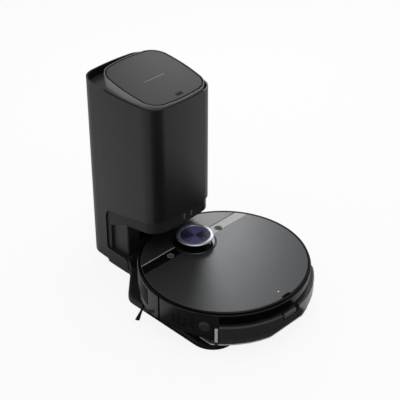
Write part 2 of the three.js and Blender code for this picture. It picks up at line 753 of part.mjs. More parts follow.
// A wheel, turned about Z and laid on its side by its group.
function wheel() {
  return join(wheelHub(), tyre());
}

function wheelHub() {
  const half = WHEEL_WIDTH / 2 - 1;
  const rim = WHEEL_RADIUS - 5;
  return revolve([
    [4 + GAP, -half + 3],
    [rim - 5, -half + 5],
    [rim - 3, -half],
    [rim, -half],
    [rim, half],
    [rim - 3, half],
    [rim - 5, half - 4],
    [4 + GAP, half - 1],
  ], 20);
}

// A tyre whose tread is a ring of square lugs.
function tyre() {
  const lugs = 16;
  const depth = 1.6;
  const plan = new THREE.Shape();
  const corners = [[0, 0], [0.62, 0], [0.7, depth], [0.92, depth]];
  for (let lug = 0; lug < lugs; lug++) {
    for (const [share, drop] of corners) {
      const angle = -Math.PI / 2 + (2 * Math.PI * (lug - 0.31 + share)) / lugs;
      const radius = WHEEL_RADIUS - drop;
      const draw = lug === 0 && share === 0 ? 'moveTo' : 'lineTo';
      plan[draw](radius * Math.cos(angle), radius * Math.sin(angle));
    }
  }
  const bore = prism(circle(WHEEL_RADIUS - 5.5), -WHEEL_WIDTH, WHEEL_WIDTH, 20);
  return cut(prism(plan, -WHEEL_WIDTH / 2, WHEEL_WIDTH / 2), bore);
}

// The caster's swivelling fork, drawn about its own stem.
function casterFork() {
  const drum = prism(circle(FORK_RADIUS), 7.5, 24, 24);
  const slot = box(-6.8, 6.8, -CASTER_TRAIL - CASTER_RADIUS - 1.2, -CASTER_TRAIL + CASTER_RADIUS + 1.2,
    0, 2 * CASTER_RADIUS + 1.2);
  const stem = prism(circle(5), 23, 32, 16);
  const axle = rod(1.5, [-10, -CASTER_TRAIL, CASTER_RADIUS], X_AXIS, 20, 12);
  return join(cut(drum, slot), stem, axle);
}

function casterWheel() {
  return revolve([
    [1.5 + GAP, -6],
    [CASTER_RADIUS - 2, -6],
    [CASTER_RADIUS, -4],
    [CASTER_RADIUS, 4],
    [CASTER_RADIUS - 2, 6],
    [1.5 + GAP, 6],
  ], 24);
}

// The main brush: fins on a core, twisted to a chevron that meets in the middle.
function mainBrush() {
  const fins = 5;
  const core = 10;
  const fin = new THREE.Shape();
  for (let i = 0; i < fins; i++) {
    const start = (2 * Math.PI * i) / fins;
    const step = (2 * Math.PI) / fins;
    const halfTip = 1.1 / BRUSH_RADIUS;
    const halfRoot = 2.4 / core;
    const corners = [
      [start - halfRoot, core],
      [start - halfTip, BRUSH_RADIUS],
      [start + halfTip, BRUSH_RADIUS],
      [start + halfRoot, core],
      [start + step / 2, core],
    ];
    corners.forEach(([angle, radius], k) => {
      const move = i === 0 && k === 0 ? 'moveTo' : 'lineTo';
      fin[move](radius * Math.cos(angle), radius * Math.sin(angle));
    });
  }
  const length = 2 * BRUSH_HALF_LENGTH;
  const geometry = new THREE.ExtrudeGeometry(fin, { depth: length, steps: 14, bevelEnabled: false });
  geometry.translate(0, 0, -BRUSH_HALF_LENGTH);
  const positions = geometry.attributes.position;
  const turn = new THREE.Vector3();
  for (let i = 0; i < positions.count; i++) {
    turn.fromBufferAttribute(positions, i);
    turn.applyAxisAngle(Z_AXIS, radians(90) * (1 - Math.abs(turn.z) / BRUSH_HALF_LENGTH));
    positions.setXYZ(i, turn.x, turn.y, turn.z);
  }
  const shaft = prism(circle(4), -BRUSH_HALF_LENGTH - 6, BRUSH_HALF_LENGTH + 6, 12);
  return solid(geometry).add(shaft);
}

// The tunnel over the main brush, with a dust outlet and two bearing walls.
function brushHousing() {
  const half = BRUSH_HALF_LENGTH + 6.5;
  const arch = new THREE.Shape();
  const outer = BRUSH_RADIUS + 4.5;
  arch.moveTo(BRUSH_Y + outer, CHASSIS_FLOOR + GAP);
  arch.lineTo(BRUSH_Y + outer, BRUSH_Z);
  arch.absarc(BRUSH_Y, BRUSH_Z, outer, 0, Math.PI, false);
  arch.lineTo(BRUSH_Y - outer, CHASSIS_FLOOR + GAP);
  const inner = new THREE.Shape();
  inner.moveTo(BRUSH_Y + outer - 2, 0);
  inner.lineTo(BRUSH_Y + outer - 2, BRUSH_Z);
  inner.absarc(BRUSH_Y, BRUSH_Z, outer - 2, 0, Math.PI, false);
  inner.lineTo(BRUSH_Y - outer + 2, 0);
  const bearing = BRUSH_HALF_LENGTH + 1;
  const outlet = box(-30, 30, BRUSH_Y - 30, BRUSH_Y - 8, BRUSH_Z + 6, BRUSH_Z + 14);
  const shaftHole = rod(4 + GAP, [-100, BRUSH_Y, BRUSH_Z], X_AXIS, 200, 12);
  const shell = cut(sidePrism(arch, -half, half, 10), sidePrism(inner, -bearing, bearing, 10));
  return cut(shell, outlet, shaftHole);
}

function brushGuard() {
  const frame = prism(roundedBox(-94, 94, BRUSH_Y - 31, BRUSH_Y + 31, 8), 5.9, CHASSIS_BOTTOM - GAP, 4);
  return cut(frame, prism(roundedBox(-82, 82, BRUSH_Y - 21.8, BRUSH_Y + 21.8, 3), 0, 20, 4));
}

// A side brush: a hub with two arms, each ending in a tuft that spreads.
function sideBrush(side) {
  const hub = revolve([
    [0, 3.2],
    [8, 3.2],
    [10.5, 4.6],
    [10.5, 8.4],
    [4, 8.4],
    [4, 19],
    [0, 19],
  ], 20);
  const arms = [0, 180].map((turn) => {
    const arm = new THREE.Shape();
    arm.moveTo(6, -2.6);
    arm.lineTo(34, -1.7);
    arm.lineTo(44, -1.5);
    arm.lineTo(SIDE_BRUSH_REACH - 0.6, -4.4);
    arm.lineTo(SIDE_BRUSH_REACH, 0);
    arm.lineTo(SIDE_BRUSH_REACH - 0.6, 4.4);
    arm.lineTo(44, 1.5);
    arm.lineTo(34, 1.7);
    arm.lineTo(6, 2.6);
    const options = { depth: 2.4, bevelEnabled: false };
    const geometry = new THREE.ExtrudeGeometry(arm, options);
    geometry.translate(0, 0, 1.6);
    geometry.rotateZ(radians(side < 0 ? 211.4 + turn : -31.4 - turn));
    return solid(geometry);
  });
  return join(hub, ...arms);
}

// The tank's plan: a straight drawer behind, with a curved back that wraps wider.
function tankPlanSolid(bottom, top, shrink) {
  const half = TANK_HALF_WIDTH - shrink;
  const drawer = prism(circle(TANK_RADIUS - shrink), bottom, top, 48)
    .intersect(box(-half, half, -200, TANK_FRONT - shrink, bottom, top));
  return drawer;
}

function tankBody() {
  const drawer = tankPlanSolid(TANK_BOTTOM, TANK_TOP - 3.3, 0);
  const wallInner = BODY_RADIUS - WALL - GAP + 0.2;
  const outline = [
    [wallInner, TANK_BOTTOM],
    [TANK_RADIUS - 3, TANK_BOTTOM],
    [TANK_RADIUS, TANK_BOTTOM + 4],
    [TANK_RADIUS, TANK_TOP - 3],
    [TANK_RADIUS - 2.5, TANK_TOP],
    [wallInner, TANK_TOP],
  ];
  const fascia = revolve(outline, ROUND)
    .intersect(prism(wedge(220, FASCIA_START, FASCIA_END), 0, 100, 24));
  const hollow = box(-TANK_HALF_WIDTH + 2.5, TANK_HALF_WIDTH - 2.5, -158, TANK_FRONT - 2.5,
    TANK_BOTTOM + 2.5, TANK_TOP + 10);
  const corners = prism(circle(BODY_RADIUS - 8), 0, 100, 48);
  const handle = softPrism(
    roundedBox(-HANDLE_HALF_WIDTH, HANDLE_HALF_WIDTH, -TANK_RADIUS - 12, -TANK_RADIUS + 13, 5),
    TANK_TOP - HANDLE_DEPTH, TANK_TOP + 20, 1.5, 4, 1,
  );
  return cut(join(drawer, fascia), hollow.intersect(corners), handle);
}

function tankCover() {
  const plate = tankPlanSolid(TANK_TOP - 3, TANK_TOP - 0.6, 1)
    .intersect(prism(circle(BODY_RADIUS - WALL - 3), 0, 100, 48));
  return cut(plate, box(-40, 40, TANK_FRONT - 22, TANK_FRONT - 8, 0, 100));
}

function tankFilter() {
  const half = 40 - GAP;
  const frame = box(-half, half, TANK_FRONT - 22 + GAP, TANK_FRONT - 8 - GAP,
    TANK_TOP - 18, TANK_TOP - 0.8);
  const pleats = [];
  for (let i = 0; i < 9; i++) {
    const x = -half + 5 + i * 8;
    pleats.push(box(x, x + 3, TANK_FRONT - 19.5, TANK_FRONT - 10.5, TANK_TOP - 4, TANK_TOP));
  }
  return cut(frame, ...pleats);
}

function tankLatch() {
  const y = -TANK_RADIUS + 2.5;
  const bottom = TANK_TOP - HANDLE_DEPTH + GAP;
  return softPrism(roundedBox(-17, 17, y, y + 7, 2), bottom, TANK_TOP - 4, 1, 4, 1);
}

function mopBracket() {
  const reach = box(-MOP_HALF_WIDTH, MOP_HALF_WIDTH, MOP_BACK, MOP_FRONT - GAP, 0, 60);
  const plate = prism(circle(MOP_RADIUS), MOP_PLATE_BOTTOM, MOP_PLATE_TOP, ROUND).intersect(reach);
  const top = TANK_BOTTOM - GAP;
  const inner = TANK_HALF_WIDTH - 0.5;
  const backPlan = arcPlan(BODY_RADIUS - 11.5, MOP_RADIUS, FASCIA_START, FASCIA_END);
  const backRim = prism(backPlan, MOP_PLATE_TOP - 1, top, 16)
    .intersect(box(-inner, inner, MOP_BACK, 0, 0, 60));
  const sidePlan = arcPlan(BODY_RADIUS - WALL, MOP_RADIUS, FASCIA_START, FASCIA_END);
  const sideRim = prism(sidePlan, MOP_PLATE_TOP - 1, top, 16)
    .intersect(box(-REACH, REACH, MOP_BACK, 0, 0, 60));
  const clips = [FASCIA_START - CLIP_SPACE, FASCIA_END + CLIP_SPACE + CLIP_ARC].map((angle) => prism(
    arcPlan(BODY_RADIUS + GAP, TANK_RADIUS - 1, angle - CLIP_ARC, angle), MOP_PLATE_BOTTOM, TANK_TOP - 4, 3,
  ));
  return join(plate, backRim, sideRim, ...clips);
}

function mopPad() {
  const reach = box(-MOP_HALF_WIDTH, MOP_HALF_WIDTH, MOP_BACK - 1, MOP_FRONT - 3, 0, 60);
  return prism(circle(MOP_RADIUS + 1.2), MOP_PAD_BOTTOM, MOP_PLATE_BOTTOM - GAP, 48).intersect(reach);
}

function battery() {
  return softPrism(roundedBox(-70, 70, -57, 8, 4), CHASSIS_FLOOR + GAP, BATTERY_TOP, 1.5, 3, 1);
}

// The fan's scroll, with a duct that climbs over the wheel to the slots in the wall.
function suctionFan() {
  const scroll = revolve([
    [0, BATTERY_TOP + GAP],
    [30, BATTERY_TOP + GAP],
    [33, BATTERY_TOP + 4],
    [33, FAN_TOP - 4],
    [28, FAN_TOP],
    [12, FAN_TOP],
    [12, FAN_TOP - 6],
    [0, FAN_TOP - 6],
  ], 28).translate(-40, -20, 0);
  const top = FLANGE_UNDER - GAP;
  const runs = [[-104, -60, 42, 60], [-104, -89, 42, top], [-161, -89, 66.8, top], [-161, -130.5, 42, top]];
  const wall = 2;
  const duct = runs.map(([x0, x1, z0, z1]) => box(x0, x1, FAN_DUCT_BACK, FAN_DUCT_FRONT, z0, z1));
  const air = runs.map(([x0, x1, z0, z1]) => box(
    x0 + wall, x1 - wall, FAN_DUCT_BACK + wall, FAN_DUCT_FRONT - wall, z0 + wall, z1 - wall,
  ));
  const exit = box(-170, -150, FAN_DUCT_BACK + wall, FAN_DUCT_FRONT - wall, 44, 58);
  return cut(join(scroll, ...duct), ...air, exit);
}

function mainBoard() {
  const bottom = FAN_TOP + GAP;
  const board = box(-75, 75, -58, 32, bottom, bottom + 1.6);
  const chips = [[-50, -40, 14], [-10, -20, 18], [30, -40, 10], [45, 0, 16]];
  return join(board, ...chips.map(([x, y, size]) => box(
    x, x + size, y, y + size, bottom + 1, bottom + 3.5,
  )));
}

function buildRobot() {
  const robot = new THREE.Group();
  robot.position.z = DOCK_LIFT;
  const blank = lidBlank();
  add(robot, 'robot_chassis', chassis(), 'darkShell');
  add(robot, 'robot_side_shell', sideShell(), 'satinShell');
  add(robot, 'robot_rear_panel', rearPanel(), 'gloss');
  add(robot, 'robot_lid', mainLid(blank), 'brushed');
  add(robot, 'robot_front_lid', frontLid(blank), 'brushed');
  add(robot, 'bumper', bumper(), 'satinShell');

  const turret = new THREE.Group();
  turret.position.y = TURRET_Y;
  robot.add(turret);
  add(turret, 'turret_base', turretBase(), 'smoked');
  add(turret, 'lidar_rotor', lidarRotor(), 'gloss');
  add(turret, 'turret_cap', turretCap(), 'darkShell');
  add(turret, 'turret_ring', turretRing(), 'silver');
  add(turret, 'turret_disc', turretDisc(), 'violet');

  const caster = new THREE.Group();
  caster.position.y = CASTER_Y;
  robot.add(caster);
  add(caster, 'caster_fork', casterFork(), 'darkShell');
  const casterAxle = new THREE.Group();
  casterAxle.position.set(0, -CASTER_TRAIL, CASTER_RADIUS);
  casterAxle.rotation.y = Math.PI / 2;
  caster.add(casterAxle);
  add(casterAxle, 'caster_wheel', casterWheel(), 'rubber');

  const brushAxle = new THREE.Group();
  brushAxle.position.set(0, BRUSH_Y, BRUSH_Z);
  brushAxle.rotation.y = Math.PI / 2;
  robot.add(brushAxle);
  add(brushAxle, 'main_brush', mainBrush(), 'bristle');
  add(robot, 'brush_housing', brushHousing(), 'darkShell');
  add(robot, 'brush_guard', brushGuard(), 'darkShell');

  add(robot, 'tank_body', tankBody(), 'smoked');
  add(robot, 'tank_cover', tankCover(), 'darkShell');
  add(robot, 'tank_filter', tankFilter(), 'paper');
  add(robot, 'tank_latch', tankLatch(), 'satinShell');
  add(robot, 'mop_bracket', mopBracket(), 'darkShell');
  add(robot, 'mop_pad', mopPad(), 'fabric');
  add(robot, 'battery', battery(), 'darkShell');
  add(robot, 'suction_fan', suctionFan(), 'grey');
  add(robot, 'main_board', mainBoard(), 'board');

  for (const [name, side] of SIDES) {
    add(robot, `control_band_${name}`, controlBand(blank, side), 'gloss');
    add(robot, `button_${name}`, button(side), 'gloss');
    add(robot, `bumper_window_${name}`, bumperWindow(side), 'gloss');
    add(robot, `wheel_arm_${name}`, wheelArm(side), 'grey');
    const axle = new THREE.Group();
    axle.position.set(side * WHEEL_X, WHEEL_Y, WHEEL_RADIUS);
    axle.rotation.y = Math.PI / 2;
    robot.add(axle);
    add(axle, `wheel_${name}`, wheel(), 'rubber');
    const corner = new THREE.Group();
    corner.position.set(side * SIDE_BRUSH_X, SIDE_BRUSH_Y, 0);
    robot.add(corner);
    add(corner, `side_brush_${name}`, sideBrush(side), 'bristle');
  }
  return robot;
}

// ================================================================ the station

// The opening that the docking space cuts through the shell, from the side.
function shellOpening() {
  const far = TOWER_FRONT - 3 * TOWER_CORNER;
  const slope = (BAY_EDGE_HIGH_FRONT - BAY_EDGE_HIGH_BACK) / (BAY_EDGE_BACK - BAY_CORNER - TOWER_FRONT);
  const top = BAY_EDGE_HIGH_BACK;
  const side = new THREE.Shape();
  side.moveTo(far, -10);
  side.lineTo(TOWER_FOOT_FRONT, -10);
  side.lineTo(TOWER_FOOT_FRONT, BAY_EDGE_LOW - TOWER_FOOT_ROUND);
  side.quadraticCurveTo(TOWER_FOOT_FRONT, BAY_EDGE_LOW, TOWER_FOOT_FRONT + TOWER_FOOT_ROUND, BAY_EDGE_LOW);
  side.lineTo(BAY_EDGE_BACK - 8, BAY_EDGE_LOW);
  side.quadraticCurveTo(BAY_EDGE_BACK, BAY_EDGE_LOW, BAY_EDGE_BACK, BAY_EDGE_LOW + 8);
  side.lineTo(BAY_EDGE_BACK, top - BAY_CORNER);
  side.quadraticCurveTo(BAY_EDGE_BACK, top, BAY_EDGE_BACK - BAY_CORNER, top);
  side.lineTo(far, top + slope * (BAY_EDGE_BACK - BAY_CORNER - far));
  return side;
}

function towerShell() {
  const top = TOWER_RIM + BACK_RIM_RISE;
  const outer = prism(towerPlan(0), 1, top, 10);
  const inner = prism(towerPlan(RIM_WALL), -5, top + 5, 10);
  const rimCut = new THREE.Shape();
  rimCut.moveTo(0, TOWER_RIM);
  rimCut.lineTo(TOWER_BACK - 70, TOWER_RIM);
  rimCut.quadraticCurveTo(TOWER_BACK - 45, TOWER_RIM, TOWER_BACK - 25, top + 0.1);
  rimCut.lineTo(TOWER_BACK - 25, top + 20);
  rimCut.lineTo(0, top + 20);
  const heel = new THREE.Shape();
  heel.moveTo(TOWER_BACK + 20, -5);
  heel.lineTo(TOWER_BACK + 20, 16);
  heel.lineTo(TOWER_BACK, 16);
  heel.quadraticCurveTo(TOWER_BACK - 8, 8, TOWER_BACK - 24, 7.5);
  heel.lineTo(BAY_EDGE_BACK, 7.5);
  heel.lineTo(BAY_EDGE_BACK - 8, -5);
  const inlet = box(INLET_X0 - GAP, INLET_X1 + GAP, TOWER_BACK - 20, REACH,
    INLET_Z0 - GAP, INLET_Z1 + GAP);
  const posts = [];
  for (const x of [BOARD_X0 + 2, BOARD_X1 - 7]) {
    for (const z of [BOARD_Z0 + 2, BOARD_Z1 - 8]) {
      posts.push(box(x, x + 5, BOARD_BACK_Y + GAP, TOWER_BACK - RIM_WALL - 1.5, z, z + 5));
    }
  }
  const exhaust = [];
  for (let row = 0; row < 7; row++) {
    const z = 190 + row * 9;
    exhaust.push(box(-38, 38, TOWER_BACK - 20, TOWER_BACK + 20, z, z + 4));
  }
  const walls = cut(outer, inner, sidePrism(shellOpening(), -100, 100), sidePrism(rimCut, -100, 100, 6),
    sidePrism(heel, -100, 100, 4), inlet, ...exhaust);
  return join(walls, ...posts);
}

// The moulding that lines the docking opening and hangs below its front edge.
function dockingFrame() {
  const top = 178;
  const behind = BAY_EDGE_BACK + 4;
  const body = prism(towerPlan(BAND_INSET), BAY_EDGE_LOW - 7, top, 10)
    .intersect(box(-100, 100, 0, behind, 0, 200));
  const lower = box(-100, 100, 0, TOWER_FOOT_FRONT + GAP, 0, BAY_EDGE_LOW + 1);
  const space = sidePrism(dockingSpace(0), -100, 100);
  const slope = (CEILING_FRONT - CEILING_KNEE) / (CEILING_KNEE_Y - TOWER_FRONT);
  const pocket = new THREE.Shape();
  pocket.moveTo(0, CEILING_KNEE + WALL + slope * CEILING_KNEE_Y);
  pocket.lineTo(CEILING_KNEE_Y, CEILING_KNEE + WALL);
  pocket.lineTo(NECK_BACK + WALL, CEILING_BACK + WALL);
  pocket.lineTo(NECK_BACK + WALL, BAY_EDGE_LOW - 4);
  pocket.lineTo(behind + 10, BAY_EDGE_LOW - 4);
  pocket.lineTo(behind + 10, top + 10);
  pocket.lineTo(0, top + 10);
  const hollow = prism(towerPlan(BAND_INSET + WALL), 0, top + 20, 10)
    .intersect(sidePrism(pocket, -100, 100));
  const windows = SIDES.map(([, side]) => sensorWindow(side, GAP, 8));
  return cut(body, lower, space, hollow, ...windows);
}

const SENSOR_MIDDLE = 6;
const SENSOR_SPACING = 10;

// One of the two narrow windows in the front skirt.
function sensorWindow(side, margin, depth) {
  const x = SENSOR_MIDDLE + side * SENSOR_SPACING;
  const face = TOWER_FRONT + BAND_INSET - TOWER_BOW;
  const half = 2.2 + margin;
  return box(x - half, x + half, face - 2, face - 0.4 + depth, 145 - margin, 158 + margin);
}

// Both windows in one clear piece, joined by a bar behind the skirt.
function sensorLens() {
  const face = TOWER_FRONT + BAND_INSET - TOWER_BOW;
  const back = face + WALL + 3 * GAP;
  const bar = box(SENSOR_MIDDLE - 14, SENSOR_MIDDLE + 14, back, back + 2, 146, 157);
  const lenses = SIDES.map(([, side]) => sensorWindow(side, 0, WALL + 2));
  const proud = box(-100, 100, 0, face - 0.2, 0, 300);
  return cut(join(bar, ...lenses), proud);
}

// The neck that joins the tower's foot to its housing.
function neckCover() {
  const outline = roundedBox(-NECK_HALF_WIDTH, NECK_HALF_WIDTH, NECK_FRONT, NECK_BACK + 40, NECK_CORNER);
  const half = NECK_HALF_WIDTH - WALL;
  const inside = roundedBox(-half, half, NECK_FRONT + WALL, NECK_BACK + 50, NECK_CORNER - WALL);
  const space = sidePrism(dockingSpace(GAP), -100, 100);
  const reach = NECK_WINDOW_HALF_WIDTH + GAP;
  const window = box(-reach, reach, 0, NECK_FRONT + 1.6, NECK_WINDOW_LOW - GAP, NECK_WINDOW_HIGH + GAP);
  const block = prism(outline, 0, 200, 6).intersect(space);
  return cut(block, prism(inside, 0, 200, 6), window);
}

function neckWindow() {
  const half = NECK_WINDOW_HALF_WIDTH;
  return box(-half, half, NECK_FRONT - 0.2, NECK_FRONT + 1.3, NECK_WINDOW_LOW, NECK_WINDOW_HIGH);
}

const FOOT_PLACES = [[-125, -62], [125, -62], [-125, 96], [125, 96]];

function basePlate() {
  const tray = softPrism(platePlan(0), PLATE_BOTTOM - 6, PLATE_TOP, 6, 12, 2)
    .intersect(box(-200, 200, -200, 300, PLATE_BOTTOM, 100));
  const heelTop = BAY_EDGE_LOW;
  const back = TOWER_FOOT_FRONT - GAP;
  const heel = new THREE.Shape();
  heel.moveTo(back - 26, PLATE_BOTTOM + 4);
  heel.lineTo(back, PLATE_BOTTOM + 4);
  heel.lineTo(back, heelTop);
  heel.lineTo(back - 2, heelTop);
  heel.quadraticCurveTo(back - 7, heelTop - 2, back - 9, heelTop - 12);
  heel.quadraticCurveTo(back - 12, PLATE_TOP - 1, back - 26, PLATE_TOP - 1);
  const step = sidePrism(heel, -TOWER_HALF_WIDTH + 1.5, TOWER_HALF_WIDTH - 1.5, 5);
  const ramp = new THREE.Shape();
  ramp.moveTo(PLATE_FRONT - 30, PLATE_BOTTOM + 3);
  ramp.lineTo(PLATE_FRONT, PLATE_BOTTOM + 3);
  ramp.lineTo(RAMP_TOP_Y, PLATE_TOP);
  ramp.lineTo(RAMP_TOP_Y, PLATE_TOP + 20);
  ramp.lineTo(PLATE_FRONT - 30, PLATE_TOP + 20);
  const under = PLATE_TOP - WALL;
  const portFront = BRUSH_Y + PORT_HALF_DEPTH;
  const portBack = BRUSH_Y - PORT_HALF_DEPTH;
  const port = box(-PORT_HALF_WIDTH, PORT_HALF_WIDTH, portBack, portFront, 0, 30);
  const sealSeat = softPrism(
    roundedBox(-PORT_HALF_WIDTH - 5, PORT_HALF_WIDTH + 5, portBack - 5, portFront + 5, 5),
    PLATE_TOP - 1.5, PLATE_TOP + 5, 0.1, 4, 1,
  );
  const channel = box(-DUCT_HALF_WIDTH - 1, DUCT_HALF_WIDTH + 1, portBack - 4, 300, 0, DUCT_TOP + GAP);
  const tools = [sidePrism(ramp, -200, 200), port, sealSeat, channel];
  const cells = [[-40, 32], [40, 92], [100, 170]];
  for (const [, side] of SIDES) {
    for (const [y0, y1] of cells) {
      const reach = y1 > 160 ? 100 : PLATE_HALF_WIDTH - 12;
      const x0 = Math.min(side * 52, side * reach);
      tools.push(box(x0, x0 + reach - 52, y0, y1, 0, under));
    }
    for (let groove = 0; groove < 6; groove++) {
      const y = -96 + groove * 14;
      const climb = ((y - RAMP_TOP_Y) * (under - 2)) / (RAMP_TOP_Y - PLATE_FRONT);
      const height = PLATE_TOP + Math.min(climb, 0);
      const x = side * WHEEL_X;
      tools.push(box(x - 14, x + 14, y, y + 4, height - 1.4, height + 20));
    }
    tools.push(box(side * CONTACT_X - 4 - GAP, side * CONTACT_X + 4 + GAP,
      CONTACT_Y - 9 - GAP, CONTACT_Y + 9 + GAP, 0, 30));
  }
  const feet = FOOT_PLACES.map(([x, y]) => foot(x, y));
  return join(cut(join(tray, step), ...tools), ...feet);
}

// The flat duct under the plate, from the suction port to the foot of the riser.
function floorDuct() {
  const start = BRUSH_Y - PORT_HALF_DEPTH - 3;
  const end = RISER_Y + 16;
  const bottom = PLATE_BOTTOM + 0.4;
  const outer = box(-DUCT_HALF_WIDTH, DUCT_HALF_WIDTH, start, end, bottom, DUCT_TOP);
  const half = DUCT_HALF_WIDTH - 2;
  const inner = box(-half, half, start + 2, end - 2, bottom + 1.6, DUCT_TOP - 1.6);
  const mouth = PORT_HALF_WIDTH - 2;
  const inlet = box(-mouth, mouth, BRUSH_Y - PORT_HALF_DEPTH, BRUSH_Y + PORT_HALF_DEPTH, 8, 30);
  const outlet = box(-24, 24, RISER_Y - 11, RISER_Y + 11, 8, 30);
  return cut(outer, inner, inlet, outlet);
}

function riserDuct() {
  const top = 340;
  const outer = box(-27, 27, RISER_Y - 14, RISER_Y + 14, DUCT_TOP + GAP, top);
  const inner = box(-24.5, 24.5, RISER_Y - 11.5, RISER_Y + 11.5, 0, top - 2.5);
  const elbow = box(-27, 27, BAY_BACK + GAP, RISER_Y - 10, top - 40, top);
  const elbowHole = box(-24.5, 24.5, BAY_BACK - 5, RISER_Y, top - 37.5, top - 2.5);
  return cut(join(outer, elbow), inner, elbowHole);
}

function portSeal() {
  const bottom = PLATE_TOP - 1.2;
  const outer = roundedBox(-PORT_HALF_WIDTH - 4.6, PORT_HALF_WIDTH + 4.6,
    BRUSH_Y - PORT_HALF_DEPTH - 4.6, BRUSH_Y + PORT_HALF_DEPTH + 4.6, 4.6);
  const inner = roundedBox(-PORT_HALF_WIDTH, PORT_HALF_WIDTH,
    BRUSH_Y - PORT_HALF_DEPTH, BRUSH_Y + PORT_HALF_DEPTH, 2);
  return cut(prism(outer, bottom, PLATE_TOP, 4), prism(inner, 0, 30, 4));
}

// A sprung charging contact that stands up through the plate.
function chargeContact(side) {
  const profile = new THREE.Shape();
  const top = DOCK_LIFT + CHASSIS_BOTTOM - 0.4;
  profile.moveTo(CONTACT_Y - 9, 8);
  profile.lineTo(CONTACT_Y + 9, 8);
  profile.lineTo(CONTACT_Y + 9, PLATE_TOP);
  profile.quadraticCurveTo(CONTACT_Y + 8, top, CONTACT_Y + 3, top);
  profile.lineTo(CONTACT_Y - 3, top);
  profile.quadraticCurveTo(CONTACT_Y - 8, top, CONTACT_Y - 9, PLATE_TOP);
  return sidePrism(profile, side * CONTACT_X - 4, side * CONTACT_X + 4, 4);
}

function towerFloor() {
  const plate = prism(towerPlan(BAND_INSET), PLATE_BOTTOM, PLATE_BOTTOM + 3, 4)
    .intersect(box(-100, 100, TOWER_FOOT_FRONT + GAP, TOWER_BACK, 0, 20));
  const raised = box(-100, 100, BAY_EDGE_BACK - 6, TOWER_BACK + 5, 0, 8.5);
  const deck = prism(towerPlan(BAND_INSET), 8.5, 11.5, 4)
    .intersect(box(-100, 100, BAY_EDGE_BACK - 10, TOWER_BACK + 5, 0, 20));
  const riser = prism(towerPlan(BAND_INSET), PLATE_BOTTOM, 11.5, 4)
    .intersect(box(-100, 100, BAY_EDGE_BACK - 10, BAY_EDGE_BACK - 6, 0, 20));
  const channel = box(-DUCT_HALF_WIDTH - 1, DUCT_HALF_WIDTH + 1, 0, RISER_Y + 17, 0, 20);
  const feet = SIDES.map(([, side]) => foot(side * 62, 232));
  return join(cut(join(cut(plate, raised), deck, riser), channel), ...feet);
}

// A round foot moulded under the plate, which the whole station stands on.
function foot(x, y) {
  return revolve([
    [0, 0],
    [FOOT_RADIUS - 1, 0],
    [FOOT_RADIUS, 1],
    [FOOT_RADIUS, PLATE_BOTTOM + 1],
    [0, PLATE_BOTTOM + 1],
  ], 20).translate(x, y, 0);
}

// The tub that holds the dust bag, hung from a shelf in the tower's mouth.
function bagBay() {
  const shelf = prism(towerPlan(BAND_INSET), DECK_TOP - 3, DECK_TOP, 5);
  const tub = prism(tubPlan(0), BAY_FLOOR, DECK_TOP - 1, 10);
  const inside = prism(tubPlan(BAY_WALL), BAY_FLOOR + BAY_WALL, REACH, 10);
  const port = box(-BAG_PORT_HALF_WIDTH, BAG_PORT_HALF_WIDTH, BAY_BACK - 20, BAY_BACK + 20,
    BAG_PORT_Z - BAG_PORT_HALF_HEIGHT, BAG_PORT_Z + BAG_PORT_HALF_HEIGHT);
  const grille = [];
  for (let i = 0; i < 6; i++) {
    const x = -33 + i * 12;
    grille.push(box(x, x + 6, 165, 225, BAY_FLOOR - 5, BAY_FLOOR + 10));
  }
  const ears = SIDES.map(([, side]) => {
    const x = side * LID_EAR_X;
    return box(x - LID_EAR_HALF_WIDTH, x + LID_EAR_HALF_WIDTH,
      LID_AXIS_Y - LID_EAR_HALF, LID_AXIS_Y + LID_EAR_HALF, DECK_TOP - 1, LID_AXIS_Z + LID_EAR_HALF);
  });
  const end = LID_EAR_X + LID_EAR_HALF_WIDTH;
  const pin = rod(LID_PIN_RADIUS, [-end, LID_AXIS_Y, LID_AXIS_Z], X_AXIS, 2 * end, 12);
  const chamber = revolve([
    [MOTOR_RADIUS - 5.7, MOTOR_SHOULDER - 3],
    [MOTOR_RADIUS + 3, MOTOR_SHOULDER - 3],
    [MOTOR_RADIUS + 3, BAY_FLOOR + 1],
    [MOTOR_RADIUS + GAP, BAY_FLOOR + 1],
    [MOTOR_RADIUS + GAP, MOTOR_SHOULDER - GAP],
    [MOTOR_RADIUS - 5.7, MOTOR_SHOULDER - GAP],
  ], 28).translate(0, MOTOR_Y, 0);
  return join(cut(join(shelf, tub, ...ears), inside, port, ...grille), pin, chamber);
}

function bagCollar() {
  const back = BAY_BACK - BAY_WALL - GAP;
  const plate = box(-BAG_CARD_HALF_WIDTH, BAG_CARD_HALF_WIDTH, back - BAG_CARD, back,
    BAG_PORT_Z - BAG_CARD_HALF_HEIGHT, BAG_PORT_Z + BAG_CARD_HALF_HEIGHT);
  return cut(plate, rod(BAG_PORT_HALF_HEIGHT - 2, [0, BAY_BACK - 20, BAG_PORT_Z], Y_AXIS, 40, 20));
}

function dustBag() {
  const back = BAY_BACK - BAY_WALL - 2 * GAP - BAG_CARD;
  const half = BAY_HALF_WIDTH - BAG_SIDE_SPACE;
  const plan = roundedBox(-half, half, BAY_FRONT + BAG_FRONT_SPACE, back, BAG_CORNER);
  return softPrism(plan, BAY_FLOOR + BAY_WALL + GAP, BAG_TOP, BAG_SOFT_EDGE, 3, 2);
}

